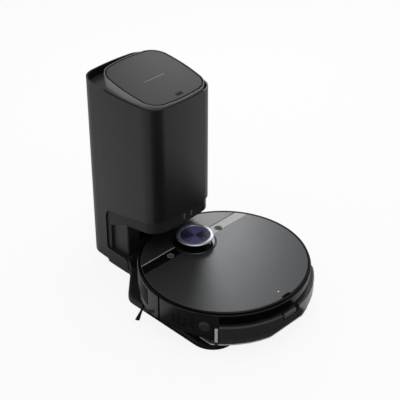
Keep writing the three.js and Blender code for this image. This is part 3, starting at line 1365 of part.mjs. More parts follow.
function suctionMotor() {
  const can = revolve([
    [0, MOTOR_SHOULDER - 30],
    [MOTOR_RADIUS - 12, MOTOR_SHOULDER - 30],
    [MOTOR_RADIUS - 6, MOTOR_SHOULDER - 24],
    [MOTOR_RADIUS - 6, MOTOR_SHOULDER],
    [MOTOR_RADIUS, MOTOR_SHOULDER + 0.4],
    [MOTOR_RADIUS, MOTOR_TOP - 5],
    [MOTOR_RADIUS - 6, MOTOR_TOP],
    [14, MOTOR_TOP],
    [14, MOTOR_TOP - 5],
    [0, MOTOR_TOP - 5],
  ], 28);
  return can.translate(0, MOTOR_Y, 0);
}

function motorFilter() {
  return prism(circle(MOTOR_RADIUS, 0, MOTOR_Y), MOTOR_TOP + GAP, BAY_FLOOR - GAP, 28);
}

function controlBoard() {
  const board = box(BOARD_X0, BOARD_X1, BOARD_BACK_Y - 1.6, BOARD_BACK_Y, BOARD_Z0, BOARD_Z1);
  const parts = [[4, 8, 16], [16, 34, 14], [6, 60, 20]]; // across, up and wide
  return join(board, ...parts.map(([across, up, size]) => box(
    BOARD_X0 + across, BOARD_X0 + across + size, BOARD_BACK_Y - 8.6, BOARD_BACK_Y - 1,
    BOARD_Z0 + up, BOARD_Z0 + up + size,
  )));
}

function powerInlet() {
  const face = TOWER_BACK - 0.6;
  const body = box(INLET_X0, INLET_X1, face - 14, face - 2.4, INLET_Z0, INLET_Z1);
  const socket = box(INLET_X0 + 4.5, INLET_X1 - 4.5, face - 11, face + 5, INLET_Z0 + 4, INLET_Z1 - 4);
  return cut(body, socket);
}

// Everything above the lid's sloping top, raised by the given height.
function aboveLid(raise) {
  const slab = new THREE.BoxGeometry(REACH, REACH, REACH);
  slab.translate(0, REACH / 2 - 2 * TOWER_BOW, REACH / 2);
  slab.rotateX(radians(LID_TILT));
  slab.translate(0, LID_FRONT, LID_FRONT_TOP + raise);
  return solid(slab);
}

function lidFrame() {
  const body = cut(prism(lidPlan(0), LID_BOTTOM, REACH), aboveLid(0));
  const pocket = prism(lidPlan(LID_BORDER), LID_BOTTOM, REACH).intersect(aboveLid(-2.8));
  const inside = cut(prism(lidPlan(LID_WALL), 0, REACH), aboveLid(-5.2));
  const notches = [];
  const cheeks = [];
  for (const [, side] of SIDES) {
    const ear = side * LID_EAR_X;
    const room = LID_EAR_HALF_WIDTH + 1;
    notches.push(box(ear - room, ear + room, LID_AXIS_Y - LID_EAR_HALF - 3, REACH, 0, LID_AXIS_Z + 7.5));
    const cheek = side * (LID_EAR_X - 2 * room);
    const back = LID_BACK - TOWER_BOW - 1;
    cheeks.push(box(cheek - 3, cheek + 3, LID_AXIS_Y - 5, back, LID_BOTTOM, LID_AXIS_Z + 22));
  }
  const end = LID_EAR_X + LID_EAR_HALF_WIDTH + 1;
  const pinHole = rod(LID_PIN_RADIUS + GAP, [-end, LID_AXIS_Y, LID_AXIS_Z], X_AXIS, 2 * end, 12);
  return cut(join(cut(body, pocket, inside, ...notches), ...cheeks), pinHole);
}

// The inlaid top plate, whose face follows the lid's slope.
function lidPlate() {
  const plate = prism(lidPlan(LID_BORDER + LID_SEAM), LID_BOTTOM, REACH).intersect(aboveLid(-2.5));
  return cut(plate, aboveLid(0));
}

// The tray that closes the lid from below, and the seal round the tub's mouth.
function lidLiner() {
  const plan = lidPlan(LID_WALL + GAP, LID_AXIS_Y - LINER_BACK_SPACE + LID_WALL);
  return prism(plan, LID_BOTTOM + 2 * GAP, LID_BOTTOM + 3, 8);
}

function lidSeal() {
  const outer = lidPlan(LID_WALL + 2 * GAP, LID_AXIS_Y - LINER_BACK_SPACE + LID_WALL - 2);
  return cut(prism(outer, DECK_TOP + GAP, LID_BOTTOM + GAP, 8), prism(tubPlan(BAY_WALL), 0, REACH, 10));
}

function buildStation() {
  const station = new THREE.Group();
  add(station, 'tower_shell', towerShell(), 'satinShell');
  add(station, 'docking_frame', dockingFrame(), 'darkShell');
  add(station, 'neck_cover', neckCover(), 'satinShell');
  add(station, 'neck_window', neckWindow(), 'gloss');
  add(station, 'sensor_window', sensorLens(), 'grey');
  add(station, 'base_plate', basePlate(), 'matteBase');
  add(station, 'tower_floor', towerFloor(), 'darkShell');
  add(station, 'floor_duct', floorDuct(), 'darkShell');
  add(station, 'riser_duct', riserDuct(), 'darkShell');
  add(station, 'port_seal', portSeal(), 'rubber');
  add(station, 'bag_bay', bagBay(), 'darkShell');
  add(station, 'bag_collar', bagCollar(), 'paper');
  add(station, 'dust_bag', dustBag(), 'fabric');
  add(station, 'suction_motor', suctionMotor(), 'grey');
  add(station, 'motor_filter', motorFilter(), 'fabric');
  add(station, 'control_board', controlBoard(), 'board');
  add(station, 'power_inlet', powerInlet(), 'darkShell');
  add(station, 'lid_frame', lidFrame(), 'satinShell');
  add(station, 'lid_plate', lidPlate(), 'satinShell');
  add(station, 'lid_liner', lidLiner(), 'darkShell');
  add(station, 'lid_seal', lidSeal(), 'rubber');
  for (const [name, side] of SIDES) {
    add(station, `charge_contact_${name}`, chargeContact(side), 'metal');
  }
  return station;
}

const pair = new THREE.Group();
pair.position.y = -CENTRE_Y;
pair.add(buildStation());
pair.add(buildRobot());

const model = new THREE.Group();
model.add(pair);

export default model;
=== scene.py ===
import math
import random

import bmesh
import bpy
from mathutils import Matrix, Vector


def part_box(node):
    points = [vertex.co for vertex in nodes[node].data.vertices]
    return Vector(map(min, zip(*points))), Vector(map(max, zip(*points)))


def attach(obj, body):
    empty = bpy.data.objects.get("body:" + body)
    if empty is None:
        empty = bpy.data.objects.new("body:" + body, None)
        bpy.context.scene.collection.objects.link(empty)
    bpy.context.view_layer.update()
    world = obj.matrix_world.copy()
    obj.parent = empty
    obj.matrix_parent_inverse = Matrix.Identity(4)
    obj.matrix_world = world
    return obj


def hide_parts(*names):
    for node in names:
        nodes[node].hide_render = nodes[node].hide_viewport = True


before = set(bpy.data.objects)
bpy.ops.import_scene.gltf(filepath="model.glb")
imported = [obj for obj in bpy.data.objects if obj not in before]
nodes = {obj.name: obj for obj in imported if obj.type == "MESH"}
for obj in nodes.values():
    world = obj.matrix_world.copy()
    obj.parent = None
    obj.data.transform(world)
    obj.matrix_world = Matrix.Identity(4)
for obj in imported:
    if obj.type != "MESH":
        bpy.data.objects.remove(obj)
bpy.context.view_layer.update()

# ---------------------------------------------------------------- camera
# A long lens, held level, looks down from behind the robot's left side, so that the
# turret and two sides of the tower are seen.
link = bpy.context.scene.collection.objects.link
lid_radius = 0.1705
robot_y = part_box("robot_lid")[0][1] + lid_radius  # the robot's upright axis
camera_data = bpy.data.cameras.new("studio_camera")
camera_data.lens = 102.27
camera_data.sensor_width = 36
camera = bpy.data.objects.new("studio_camera", camera_data)
camera.location = (-1.3555, robot_y - 1.2824, 1.4828)
line_of_sight = Vector((0.5897, 0.5879, -0.5538))
camera.rotation_euler = line_of_sight.to_track_quat("-Z", "Y").to_euler()
link(camera)
bpy.context.scene.camera = camera
bpy.context.scene.view_settings.view_transform = "Standard"

# ---------------------------------------------------------------- studio
# A white paper sweep under an even white sky. One soft box hangs overhead and one stands
# at the right. The robot's lid and glossy band mirror a third, behind.


# A plain value is set on the node's socket, and another node's output is joined to it.
def set_inputs(tree, node, values):
    for socket, value in values.items():
        if isinstance(value, bpy.types.NodeSocket):
            tree.links.new(value, node.inputs[socket])
        else:
            node.inputs[socket].default_value = value


def add_node(tree, kind, values, **settings):
    made = tree.nodes.new("ShaderNode" + kind)
    for setting, value in settings.items():
        setattr(made, setting, value)
    set_inputs(tree, made, values)
    return made


def new_material(name):
    material = bpy.data.materials.new(name)
    material.use_nodes = True
    return material, material.node_tree, material.node_tree.nodes["Principled BSDF"]


def stand_on_stage(name, form, material):
    mesh = bpy.data.meshes.new(name)
    form.to_mesh(mesh)
    form.free()
    mesh.materials.append(material)
    thing = bpy.data.objects.new(name, mesh)
    link(thing)
    return thing


white = (1, 1, 1, 1)
floor_reach = 12
paper_glow = 0.88  # how much of the paper's own white the camera sees
floor_paper, tree, sweep = new_material("white_sweep")
set_inputs(tree, sweep, {
    "Base Color": (0.86, 0.86, 0.86, 1), "Roughness": 0.9, "Specular IOR Level": 0.1,
})
glow = add_node(tree, "Emission", {"Color": white})
seen = add_node(tree, "LightPath", {})
share = add_node(tree, "Math", {0: seen.outputs["Is Camera Ray"], 1: paper_glow},
                 operation="MULTIPLY")
mixed = add_node(tree, "MixShader", {
    "Fac": share.outputs[0], 1: sweep.outputs[0], 2: glow.outputs[0],
})
set_inputs(tree, tree.nodes["Material Output"], {"Surface": mixed.outputs[0]})
floor_form = bmesh.new()
bmesh.ops.create_grid(floor_form, x_segments=1, y_segments=1, size=floor_reach)
stand_on_stage("studio_floor", floor_form, floor_paper)

# The sky lights the object, is dimmer in its reflections, and is plain white behind it.
sky = bpy.data.worlds.new("studio_sky")
bpy.context.scene.world = sky
sky.use_nodes = True
air = sky.node_tree
daylight = air.nodes["Background"]
set_inputs(air, daylight, {"Color": white, "Strength": 0.62})
mirrored = add_node(air, "Background", {"Color": white, "Strength": 0.36})
white_wall = add_node(air, "Background", {"Color": white, "Strength": 1.0})
ray = add_node(air, "LightPath", {})
lit_or_mirrored = add_node(air, "MixShader", {
    "Fac": ray.outputs["Is Glossy Ray"], 1: daylight.outputs[0], 2: mirrored.outputs[0],
})
either = add_node(air, "MixShader", {
    "Fac": ray.outputs["Is Camera Ray"], 1: lit_or_mirrored.outputs[0], 2: white_wall.outputs[0],
})
set_inputs(air, air.nodes["World Output"], {"Surface": either.outputs[0]})


def soft_box(name, place, target, width, watts):
    lamp_data = bpy.data.lights.new(name, "AREA")
    lamp_data.shape = "SQUARE"
    lamp_data.size = width
    lamp_data.energy = watts
    lamp = bpy.data.objects.new(name, lamp_data)
    lamp.location = place
    aim = Vector(target) - Vector(place)
    lamp.rotation_euler = aim.to_track_quat("-Z", "Y").to_euler()
    lamp.visible_camera = False
    link(lamp)


soft_box("box_above", place=(0.2, 0.1, 2.6), target=(0, 0, 0), width=1.6, watts=14)
soft_box("box_right", place=(2.2, 0.3, 1.2), target=(0, 0, 0.2), width=1.2, watts=6)
soft_box("box_behind", place=(0.83, robot_y + 0.86, 0.84), target=(0.05, robot_y + 0.05, 0.1),
         width=0.34, watts=2.1)

# A dark card lies before the object, as a flag that keeps its near corners deep.
card_height = 0.0004
card_corners = [
    (-0.09, 0.03), (-1.15, -0.42), (-1.3, -1.4), (-0.35, -1.5), (0.05, -0.85), (0.10, -0.27),
    (-0.07, -0.10),
]
card_cloth, tree, card_black = new_material("black_card")
set_inputs(tree, card_black, {"Base Color": (0.01, 0.01, 0.01, 1), "Roughness": 1})
card_form = bmesh.new()
card_form.faces.new([card_form.verts.new((x, y, card_height)) for x, y in card_corners])
dark_card = stand_on_stage("dark_card", card_form, card_cloth)
dark_card.visible_camera = False
dark_card.visible_diffuse = False
dark_card.visible_shadow = False
dark_card.visible_transmission = False


def object_place(tree):
    return add_node(tree, "TexCoord", {}).outputs["Object"]


def noise(tree, place, scale, detail):
    made = add_node(tree, "TexNoise", {"Vector": place, "Scale": scale, "Detail": detail})
    return made.outputs["Fac"]


def bump(tree, height, strength, distance):
    made = add_node(tree, "Bump", {"Height": height, "Strength": strength, "Distance": distance})
    return made.outputs["Normal"]


def maths(tree, operation, *terms):
    return add_node(tree, "Math", dict(enumerate(terms)), operation=operation).outputs[0]


def new_group(name, inputs, outputs):
    group = bpy.data.node_groups.new(name, "ShaderNodeTree")
    for socket, kind, start in inputs:
        made = group.interface.new_socket(socket, in_out="INPUT", socket_type=kind)
        made.default_value = start
    for socket, kind in outputs:
        group.interface.new_socket(socket, in_out="OUTPUT", socket_type=kind)
    given = group.nodes.new("NodeGroupInput").outputs
    return group, given, group.nodes.new("NodeGroupOutput")


# The finish that moulded plastic takes from its tool and from use: fine pits, a slow
# drift in tone and shine, and faint paler rub marks.
moulded_grain, given, result = new_group("moulded_grain", [
    ("Colour", "NodeSocketColor", (0.02, 0.02, 0.02, 1)),
    ("Roughness", "NodeSocketFloat", 0.45),
    ("Spread", "NodeSocketFloat", 0.06),
    ("Grain size", "NodeSocketFloat", 2600.0),
    ("Depth", "NodeSocketFloat", 0.08),
    ("Rub", "NodeSocketFloat", 0.15),
], [
    ("Colour", "NodeSocketColor"),
    ("Roughness", "NodeSocketFloat"),
    ("Normal", "NodeSocketVector"),
])
place = object_place(moulded_grain)
pits = noise(moulded_grain, place, scale=given["Grain size"], detail=2)
drift = noise(moulded_grain, place, scale=9, detail=3)
centred = maths(moulded_grain, "SUBTRACT", drift, 0.5)
tone = maths(moulded_grain, "MULTIPLY_ADD", centred, 0.25, 1)
scuffs = noise(moulded_grain, place, scale=60, detail=6)
worn = add_node(moulded_grain, "MapRange", {"Value": scuffs, "From Min": 0.58, "From Max": 0.8})
rubbed = maths(moulded_grain, "MULTIPLY", worn.outputs[0], given["Rub"])
tinted = add_node(moulded_grain, "VectorMath", {
    0: given["Colour"], "Scale": maths(moulded_grain, "ADD", tone, rubbed),
}, operation="SCALE")
set_inputs(moulded_grain, result, {
    "Colour": tinted.outputs[0],
    "Roughness": maths(moulded_grain, "MULTIPLY_ADD", centred, given["Spread"],
                       given["Roughness"]),
    "Normal": bump(moulded_grain, pits, strength=given["Depth"], distance=0.0001),
})


def moulded(name, colour, roughness, depth=0.08, grain=2600.0, spread_by=0.06, specular=0.5,
            rub=0.15, metal=0.0):
    material, tree, plastic = new_material(name)
    finish = add_node(tree, "Group", {
        "Colour": (*colour, 1), "Roughness": roughness, "Spread": spread_by,
        "Grain size": grain, "Depth": depth, "Rub": rub,
    }, node_tree=moulded_grain).outputs
    set_inputs(tree, plastic, {
        "Base Color": finish["Colour"], "Roughness": finish["Roughness"],
        "Normal": finish["Normal"], "Specular IOR Level": specular, "Metallic": metal,
    })
    return material


# The solids come as loose triangles. Their corners are joined, and the triangles of one
# flat or nearly flat wall become one face.
weld_gap = 0.000004
flat_turn = math.radians(0.6)


def merged(mesh):
    form = bmesh.new()
    form.from_mesh(mesh)
    bmesh.ops.remove_doubles(form, verts=form.verts, dist=weld_gap)
    bmesh.ops.dissolve_limit(form, angle_limit=flat_turn, verts=form.verts, edges=form.edges)
    return form


def shade_into(mesh, form, sharp):
    for face in form.faces:
        face.smooth = True
    form.to_mesh(mesh)
    form.free()
    mesh.set_sharp_from_angle(angle=math.radians(sharp))


def soften(piece, width):
    rounded = piece.modifiers.new("rounded edges", "BEVEL")
    rounded.width = width
    rounded.segments = 2
    return rounded


# A finished skin over a solid: its sharp edges get a small round and its curved walls
# shade smoothly. The skin stands for the solid it covers.
def skin(node, body, material, edge=0.0004, sharp=32):
    mesh = nodes[node].data.copy()
    mesh.name = node + "_skin"
    shade_into(mesh, merged(mesh), sharp)
    mesh.materials.clear()
    mesh.materials.append(material)
    piece = bpy.data.objects.new(node + "_skin", mesh)
    link(piece)
    if edge:
        rounded = soften(piece, edge)
        rounded.limit_method = "ANGLE"
        rounded.angle_limit = math.radians(sharp)
    even = piece.modifiers.new("even shading", "WEIGHTED_NORMAL")
    even.mode = "FACE_AREA"
    even.weight = 90
    even.keep_sharp = True
    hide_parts(node)
    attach(piece, body)
    return piece


charcoal = moulded("charcoal_shell", (0.0055, 0.0056, 0.0058), roughness=0.4, depth=0.10,
                   specular=0.42)
skin("tower_shell", "station", charcoal, edge=0.0006)

# ---------------------------------------------------------------- docking frame and neck
# A duller frame lines the docking opening, and the neck behind it carries the tower.
# The neck's glossy strip and the two dark eyes above it look out for the robot.
frame_black = moulded("frame_black", (0.022, 0.022, 0.0225), roughness=0.3, depth=0.03,
                      specular=0.12)
skin("docking_frame", "station", frame_black)
neck_grey = moulded("neck_grey", (0.016, 0.0162, 0.0165), roughness=0.5, depth=0.06)
skin("neck_cover", "station", neck_grey)


# A polished tool leaves no pits, and a hard face takes no rub marks.
def polished(name, colour, roughness, spread_by=0.02, specular=0.5):
    return moulded(name, colour, roughness, depth=0.0, spread_by=spread_by, specular=specular,
                   rub=0.0)


gloss = polished("polished_black", (0.003, 0.003, 0.0034), roughness=0.07)
skin("neck_window", "station", gloss, edge=0.0002)
eye_glass = polished("infrared_lens", (0.10, 0.10, 0.105), roughness=0.3)
skin("sensor_window", "station", eye_glass, edge=0.0003)

# ---------------------------------------------------------------- air path and drive
# Ducts, tub and inlet are plain black mouldings, clipped and screwed inside the tower.
# A grey can holds the suction motor, and a rubber seal meets the robot's brush housing.


def dress(node, material):
    for slot in nodes[node].material_slots:
        slot.material = material


inner_black = moulded("inner_black", (0.008, 0.008, 0.0083), roughness=0.6, depth=0.1)
for inner in ["tower_floor", "floor_duct", "riser_duct", "bag_bay"]:
    dress(inner, inner_black)
inlet_black = moulded("inlet_black", (0.006, 0.006, 0.006), roughness=0.35, depth=0.02)
skin("power_inlet", "station", inlet_black, edge=0.0005)
seal_rubber = moulded("seal_rubber", (0.011, 0.011, 0.0112), roughness=0.75, depth=0.16,
                      grain=1400.0, specular=0.3)
skin("port_seal", "station", seal_rubber, edge=0.0004)
motor_grey = moulded("motor_can_grey", (0.17, 0.172, 0.178), roughness=0.42, depth=0.05)
skin("suction_motor", "station", motor_grey, edge=0.0008)


def ramp(tree, factor, first, last, first_at=0.0, last_at=1.0):
    made = add_node(tree, "ValToRGB", {"Fac": factor})
    for stop, at, colour in zip(made.color_ramp.elements, [first_at, last_at], [first, last]):
        stop.position = at
        stop.color = (*colour, 1)
    return made.outputs["Color"]


# The filter over the motor is open-cell foam.
foam, tree, cell_wall = new_material("filter_foam")
cells = add_node(tree, "TexVoronoi", {"Vector": object_place(tree), "Scale": 900})
cell_depth = cells.outputs["Distance"]
set_inputs(tree, cell_wall, {
    "Base Color": ramp(tree, cell_depth, (0.30, 0.31, 0.33), (0.05, 0.05, 0.055)),
    "Normal": bump(tree, cell_depth, strength=0.8, distance=0.0006),
    "Roughness": 0.95,
})
filter_pad = skin("motor_filter", "station", foam, edge=0.0018, sharp=40)

# ---------------------------------------------------------------- circuit boards
# Each board is green laminate with dark parts standing on one face: one lies in the
# robot, and one stands in the tower. Both are screwed to posts.
board_thickness = 0.0017


def mix_colours(tree, factor, first, last):
    made = add_node(tree, "Mix", {"Factor": factor, "A": first, "B": last}, data_type="RGBA")
    return made.outputs["Result"]


def laminate(name, axis, beyond, part_face):
    material, tree, board = new_material(name)
    place = object_place(tree)
    along = add_node(tree, "SeparateXYZ", {0: place}).outputs[axis]
    tracks = add_node(tree, "TexBrick", {
        "Vector": place, "Scale": 160, "Color1": (0.008, 0.075, 0.03, 1),
        "Color2": (0.006, 0.055, 0.022, 1), "Mortar": (0.02, 0.13, 0.06, 1),
    })
    on_parts = maths(tree, beyond, along, part_face)
    part_black = (0.012, 0.012, 0.013, 1)
    set_inputs(tree, board, {
        "Base Color": mix_colours(tree, on_parts, tracks.outputs["Color"], part_black),
        "Roughness": 0.35,
    })
    return material


main_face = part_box("main_board")[0][2] + board_thickness
dress("main_board", laminate("robot_laminate", "Z", "GREATER_THAN", main_face))
control_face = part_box("control_board")[1][1] - board_thickness
dress("control_board", laminate("station_laminate", "Y", "LESS_THAN", control_face))

# ---------------------------------------------------------------- charging contacts
# Two plated leaf springs stand in slots in the plate. The robot's pads wipe over them,
# which leaves their tops uneven in shine.


def between(tree, value, low, high):
    return add_node(tree, "MapRange", {"Value": value, "To Min": low, "To Max": high}).outputs[0]


plated, tree, plating = new_material("plated_contact")
wiped = noise(tree, object_place(tree), scale=300, detail=4)
set_inputs(tree, plating, {
    "Base Color": ramp(tree, wiped, (0.62, 0.55, 0.40), (0.80, 0.76, 0.64)),
    "Roughness": between(tree, wiped, low=0.16, high=0.42),
    "Metallic": 1,
})
for hand in ["left", "right"]:
    skin(f"charge_contact_{hand}", f"contact_{hand}", plated, edge=0.0004)

# ---------------------------------------------------------------- base plate
# A low tray in near-black plastic with a coarser grain against scuffs, ribbed where the
# wheels climb.
plate_black = moulded("plate_black", (0.0085, 0.0085, 0.0089), roughness=0.5, depth=0.2,
                      grain=1500.0, rub=0.3)
skin("base_plate", "station", plate_black, edge=0.0003)

# ---------------------------------------------------------------- dust bag
# A disposable bag of soft non-woven paper, welded round a stiff card collar that slides
# into the tub's back wall. It swells a little once the air fills it.

# Cloth built of crossing threads, with fibres that lift off them.
weave, given, result = new_group("woven_threads", [
    ("Dark", "NodeSocketColor", (0.2, 0.2, 0.2, 1)),
    ("Light", "NodeSocketColor", (0.5, 0.5, 0.5, 1)),
    ("Threads", "NodeSocketFloat", 180.0),
    ("Fibres", "NodeSocketFloat", 1400.0),
], [
    ("Colour", "NodeSocketColor"),
    ("Height", "NodeSocketFloat"),
])
place = object_place(weave)
threads = [
    add_node(weave, "TexWave", {
        "Vector": place, "Scale": given["Threads"], "Distortion": 1.2, "Detail": 1,
    }, bands_direction=direction).outputs["Fac"]
    for direction in ["X", "Y"]
]
fibres = noise(weave, place, scale=given["Fibres"], detail=5)
pile = maths(weave, "MULTIPLY_ADD", fibres, 0.6, maths(weave, "MULTIPLY", *threads))
set_inputs(weave, result, {
    "Colour": mix_colours(weave, pile, given["Dark"], given["Light"]),
    "Height": pile,
})


def cloth(name, dark, light, threads, fibres, depth, sheen):
    material, tree, fabric = new_material(name)
    woven = add_node(tree, "Group", {
        "Dark": (*dark, 1), "Light": (*light, 1), "Threads": threads, "Fibres": fibres,
    }, node_tree=weave).outputs
    set_inputs(tree, fabric, {
        "Base Color": woven["Colour"],
        "Normal": bump(tree, woven["Height"], strength=depth, distance=0.0005),
        "Roughness": 0.9,
        "Sheen Weight": sheen,
        "Specular IOR Level": 0.2,
    })
    return material


settling_steps = 20


# Air pressure pushes the cloth out while it settles over a few steps.
def blow_up(piece, pressure):
    blown = piece.modifiers.new("filling", "CLOTH")
    blown.settings.quality = 5
    blown.settings.mass = 0.2
    blown.settings.tension_stiffness = 12
    blown.settings.compression_stiffness = 12
    blown.settings.bending_stiffness = 1.0
    blown.settings.use_pressure = True
    blown.settings.uniform_pressure_force = pressure
    blown.settings.effector_weights.gravity = 0
    scene = bpy.context.scene
    for step in range(1, settling_steps + 1):
        scene.frame_set(step)
    settled = piece.evaluated_get(bpy.context.evaluated_depsgraph_get())
    moved = [vertex.co.copy() for vertex in settled.data.vertices]
    piece.modifiers.clear()
    scene.frame_set(1)
    return moved


# A soft piece starts a little inside the solid that holds its space. The cloth is blown
# up, held to a small bulge, and kept clear of what stands round it.
def filled(node, name, voxel, start_in, pressure, bulge, room):
    mesh = nodes[node].data.copy()
    form = bmesh.new()
    form.from_mesh(mesh)
    bmesh.ops.remove_doubles(form, verts=form.verts, dist=weld_gap)
    form.to_mesh(mesh)
    form.free()
    mesh.materials.clear()
    piece = bpy.data.objects.new(name, mesh)
    link(piece)
    remeshed = piece.modifiers.new("even faces", "REMESH")
    remeshed.mode = "VOXEL"
    remeshed.voxel_size = voxel
    bpy.context.view_layer.update()
    depsgraph = bpy.context.evaluated_depsgraph_get()
    even = bpy.data.meshes.new_from_object(piece.evaluated_get(depsgraph))
    piece.modifiers.clear()
    piece.data = even
    even.name = name
    form = bmesh.new()
    form.from_mesh(even)
    form.normal_update()
    for vertex in form.verts:
        vertex.co -= vertex.normal * start_in
    form.to_mesh(even)
    form.free()
    rest = [vertex.co.copy() for vertex in even.vertices]
    moved = blow_up(piece, pressure)
    low, high = room
    for vertex, start, end in zip(even.vertices, rest, moved):
        shift = end - start
        if shift.length > bulge:
            shift = shift * (bulge / shift.length)
        goal = start + shift
        vertex.co = [min(max(goal[i], low[i]), high[i]) for i in range(3)]
    for face in even.polygons:
        face.use_smooth = True
    smoothed = piece.modifiers.new("even surface", "SUBSURF")
    smoothed.levels = 1
    smoothed.render_levels = 1
    return piece


bag_low, bag_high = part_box("dust_bag")
bag_room = (
    (bag_low[0] - 0.004, bag_low[1] - 0.005, bag_low[2] + 0.0001),
    (bag_high[0] + 0.004, bag_high[1] - 0.0002, bag_high[2] + 0.001),
)
bag = filled("dust_bag", "dust_bag_cloth", voxel=0.005, start_in=0.0025, pressure=4.0,
             bulge=0.006, room=bag_room)
bag_paper = cloth("bag_paper", dark=(0.46, 0.45, 0.42), light=(0.68, 0.67, 0.63),
                  threads=260.0, fibres=900.0, depth=0.3, sheen=0.1)
bag.data.materials.append(bag_paper)
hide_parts("dust_bag")
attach(bag, "station")

card = moulded("pressed_card", (0.52, 0.46, 0.36), roughness=0.85, depth=0.2, grain=700.0,
               specular=0.2, rub=0.1)
skin("bag_collar", "station", card, edge=0.0004)

# ---------------------------------------------------------------- station lid
# A hinged cap: a charcoal plate that rises to the back is let into a paler frame, over a
# flat liner and a rubber seal.
lid_grey = moulded("lid_charcoal", (0.013, 0.0132, 0.0136), roughness=0.42, depth=0.05, rub=0.1)
rim_grey = moulded("lid_rim_charcoal", (0.16, 0.161, 0.163), roughness=0.34, depth=0.05, rub=0.1)
skin("lid_frame", "station_lid", rim_grey, edge=0.001)
skin("lid_plate", "station_lid", lid_grey, edge=0.0003)
dress("lid_liner", inner_black)
dress("lid_seal", seal_rubber)


def thicken(form, faces, rise):
    made = bmesh.ops.extrude_face_region(form, geom=faces)["geom"]
    raised = [item for item in made if isinstance(item, bmesh.types.BMVert)]
    bmesh.ops.translate(form, verts=raised, vec=(0, 0, rise))


# Trim that has no solid of its own is a new piece, with its faces turned outwards.
def place_piece(name, form, body, material):
    bmesh.ops.recalc_face_normals(form, faces=form.faces)
    mesh = bpy.data.meshes.new(name)
    shade_into(mesh, form, sharp=35)
    mesh.materials.append(material)
    piece = bpy.data.objects.new(name, mesh)
    link(piece)
    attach(piece, body)
    return piece


# A thin matte black band stands round the plate's edge over the seam: painted shade for the
# shadow in the seam's gap.
lip_width = 0.0026
lip_rise = 0.00012
level_enough = 0.9
seam_shade_black = moulded("seam_shade_black", (0.002, 0.002, 0.0021), roughness=0.7, depth=0.05, specular=0.1,
                    rub=0.0)
form = merged(nodes["lid_plate"].data)
form.normal_update()
upward = [face for face in form.faces if face.normal.z > level_enough]
plate_top = max(upward, key=lambda face: face.calc_area())
bmesh.ops.inset_region(form, faces=[plate_top], thickness=lip_width, use_even_offset=True)
upward = [face for face in form.faces if face.normal.z > level_enough and face is not plate_top]
lip = [face for face in upward if any(edge in plate_top.edges for edge in face.edges)]
others = [face for face in form.faces if face not in lip]
bmesh.ops.delete(form, geom=others, context="FACES")
thicken(form, form.faces[:], lip_rise)
place_piece("lid_seam_painted_shade", form, "station_lid", seam_shade_black)

# Flush in the plate are a small dark lamp window by the front edge and a fine pale line.
lid_slope = math.tan(math.radians(8.75))
plate_back, plate_top_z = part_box("lid_plate")[1][1:]
inlay_proud = 0.00005
inlay_depth = 0.0004
corner_steps = 4


def inlay(name, x, y, width, depth, corner, material):
    form = bmesh.new()
    for turn, (side_x, side_y) in enumerate([(1, 1), (-1, 1), (-1, -1), (1, -1)]):
        for part in range(corner_steps + 1):
            angle = math.radians(90 * (turn + part / corner_steps))
            corner_x = x + side_x * (width / 2 - corner) + corner * math.cos(angle)
            corner_y = y + side_y * (depth / 2 - corner) + corner * math.sin(angle)
            height = plate_top_z - lid_slope * (plate_back - corner_y) + inlay_proud
            form.verts.new((corner_x, corner_y, height))
    thicken(form, [form.faces.new(form.verts)], -inlay_depth)
    place_piece(name, form, "station_lid", material)


lamp_window = polished("lamp_window_black", (0.002, 0.002, 0.0022), roughness=0.55,
                       specular=0.15)
inlay("lid_lamp_window", x=0.001, y=robot_y + 0.1272, width=0.017, depth=0.0085, corner=0.0012,
      material=lamp_window)
pale_print = moulded("pale_print", (0.30, 0.30, 0.305), roughness=0.5, depth=0.05)
inlay("lid_fine_line", x=-0.002, y=robot_y + 0.1946, width=0.054, depth=0.0009, corner=0.0004,
      material=pale_print)

# ---------------------------------------------------------------- robot body
# A turned side wall with the exhaust slots, a glossy panel over the tank, and the sprung
# bumper that wraps the front. All are black mouldings, clipped round the chassis tray.
robot_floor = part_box("wheel_left")[0][2] - 0.0002  # what its wheels stand on
wall_black = moulded("side_wall_black", (0.010, 0.010, 0.0104), roughness=0.26, depth=0.03,
                     specular=0.45)
bumper_black = moulded("bumper_black", (0.005, 0.005, 0.0054), roughness=0.22, depth=0.02,
                       specular=0.45)

# The two round bosses on the wall are coloured a shade paler than the rest: a painted highlight
# for the light they catch.
body_radius = 0.1775
boss_bearing = math.radians(-148.3)
boss_height = 0.047
boss_radius = 0.0122
boss_centre = (
    -body_radius * math.cos(boss_bearing),
    robot_y + body_radius * math.sin(boss_bearing),
    robot_floor + boss_height,
)
tree = wall_black.node_tree
plastic = tree.nodes["Principled BSDF"]
along = add_node(tree, "SeparateXYZ", {0: object_place(tree)}).outputs
folded_over = add_node(tree, "CombineXYZ", {
    "X": maths(tree, "ABSOLUTE", along["X"]), "Y": along["Y"], "Z": along["Z"],
}).outputs[0]
away = add_node(tree, "VectorMath", {0: folded_over, 1: boss_centre}, operation="DISTANCE")
boss_painted_highlight = maths(tree, "LESS_THAN", away.outputs["Value"], boss_radius)
wall_colour = plastic.inputs["Base Color"].links[0].from_socket
set_inputs(tree, plastic, {
    "Base Color": mix_colours(tree, boss_painted_highlight, wall_colour, (0.024, 0.024, 0.0246, 1)),
})
side_wall = skin("robot_side_shell", "robot", wall_black, edge=0.0007)
bumper_wall = skin("bumper", "bumper_body", bumper_black, edge=0.0007)
rear_black = polished("rear_band_black", (0.0015, 0.0015, 0.0016), roughness=0.12, specular=0.2)
rear_wall = skin("robot_rear_panel", "robot", rear_black, edge=0.0002)
window_glass = polished("window_black", (0.0012, 0.0012, 0.0013), roughness=0.05, spread_by=0.01,
                        specular=0.02)
for hand in ["left", "right"]:
    skin(f"bumper_window_{hand}", "bumper_body", window_glass, edge=0.0002)
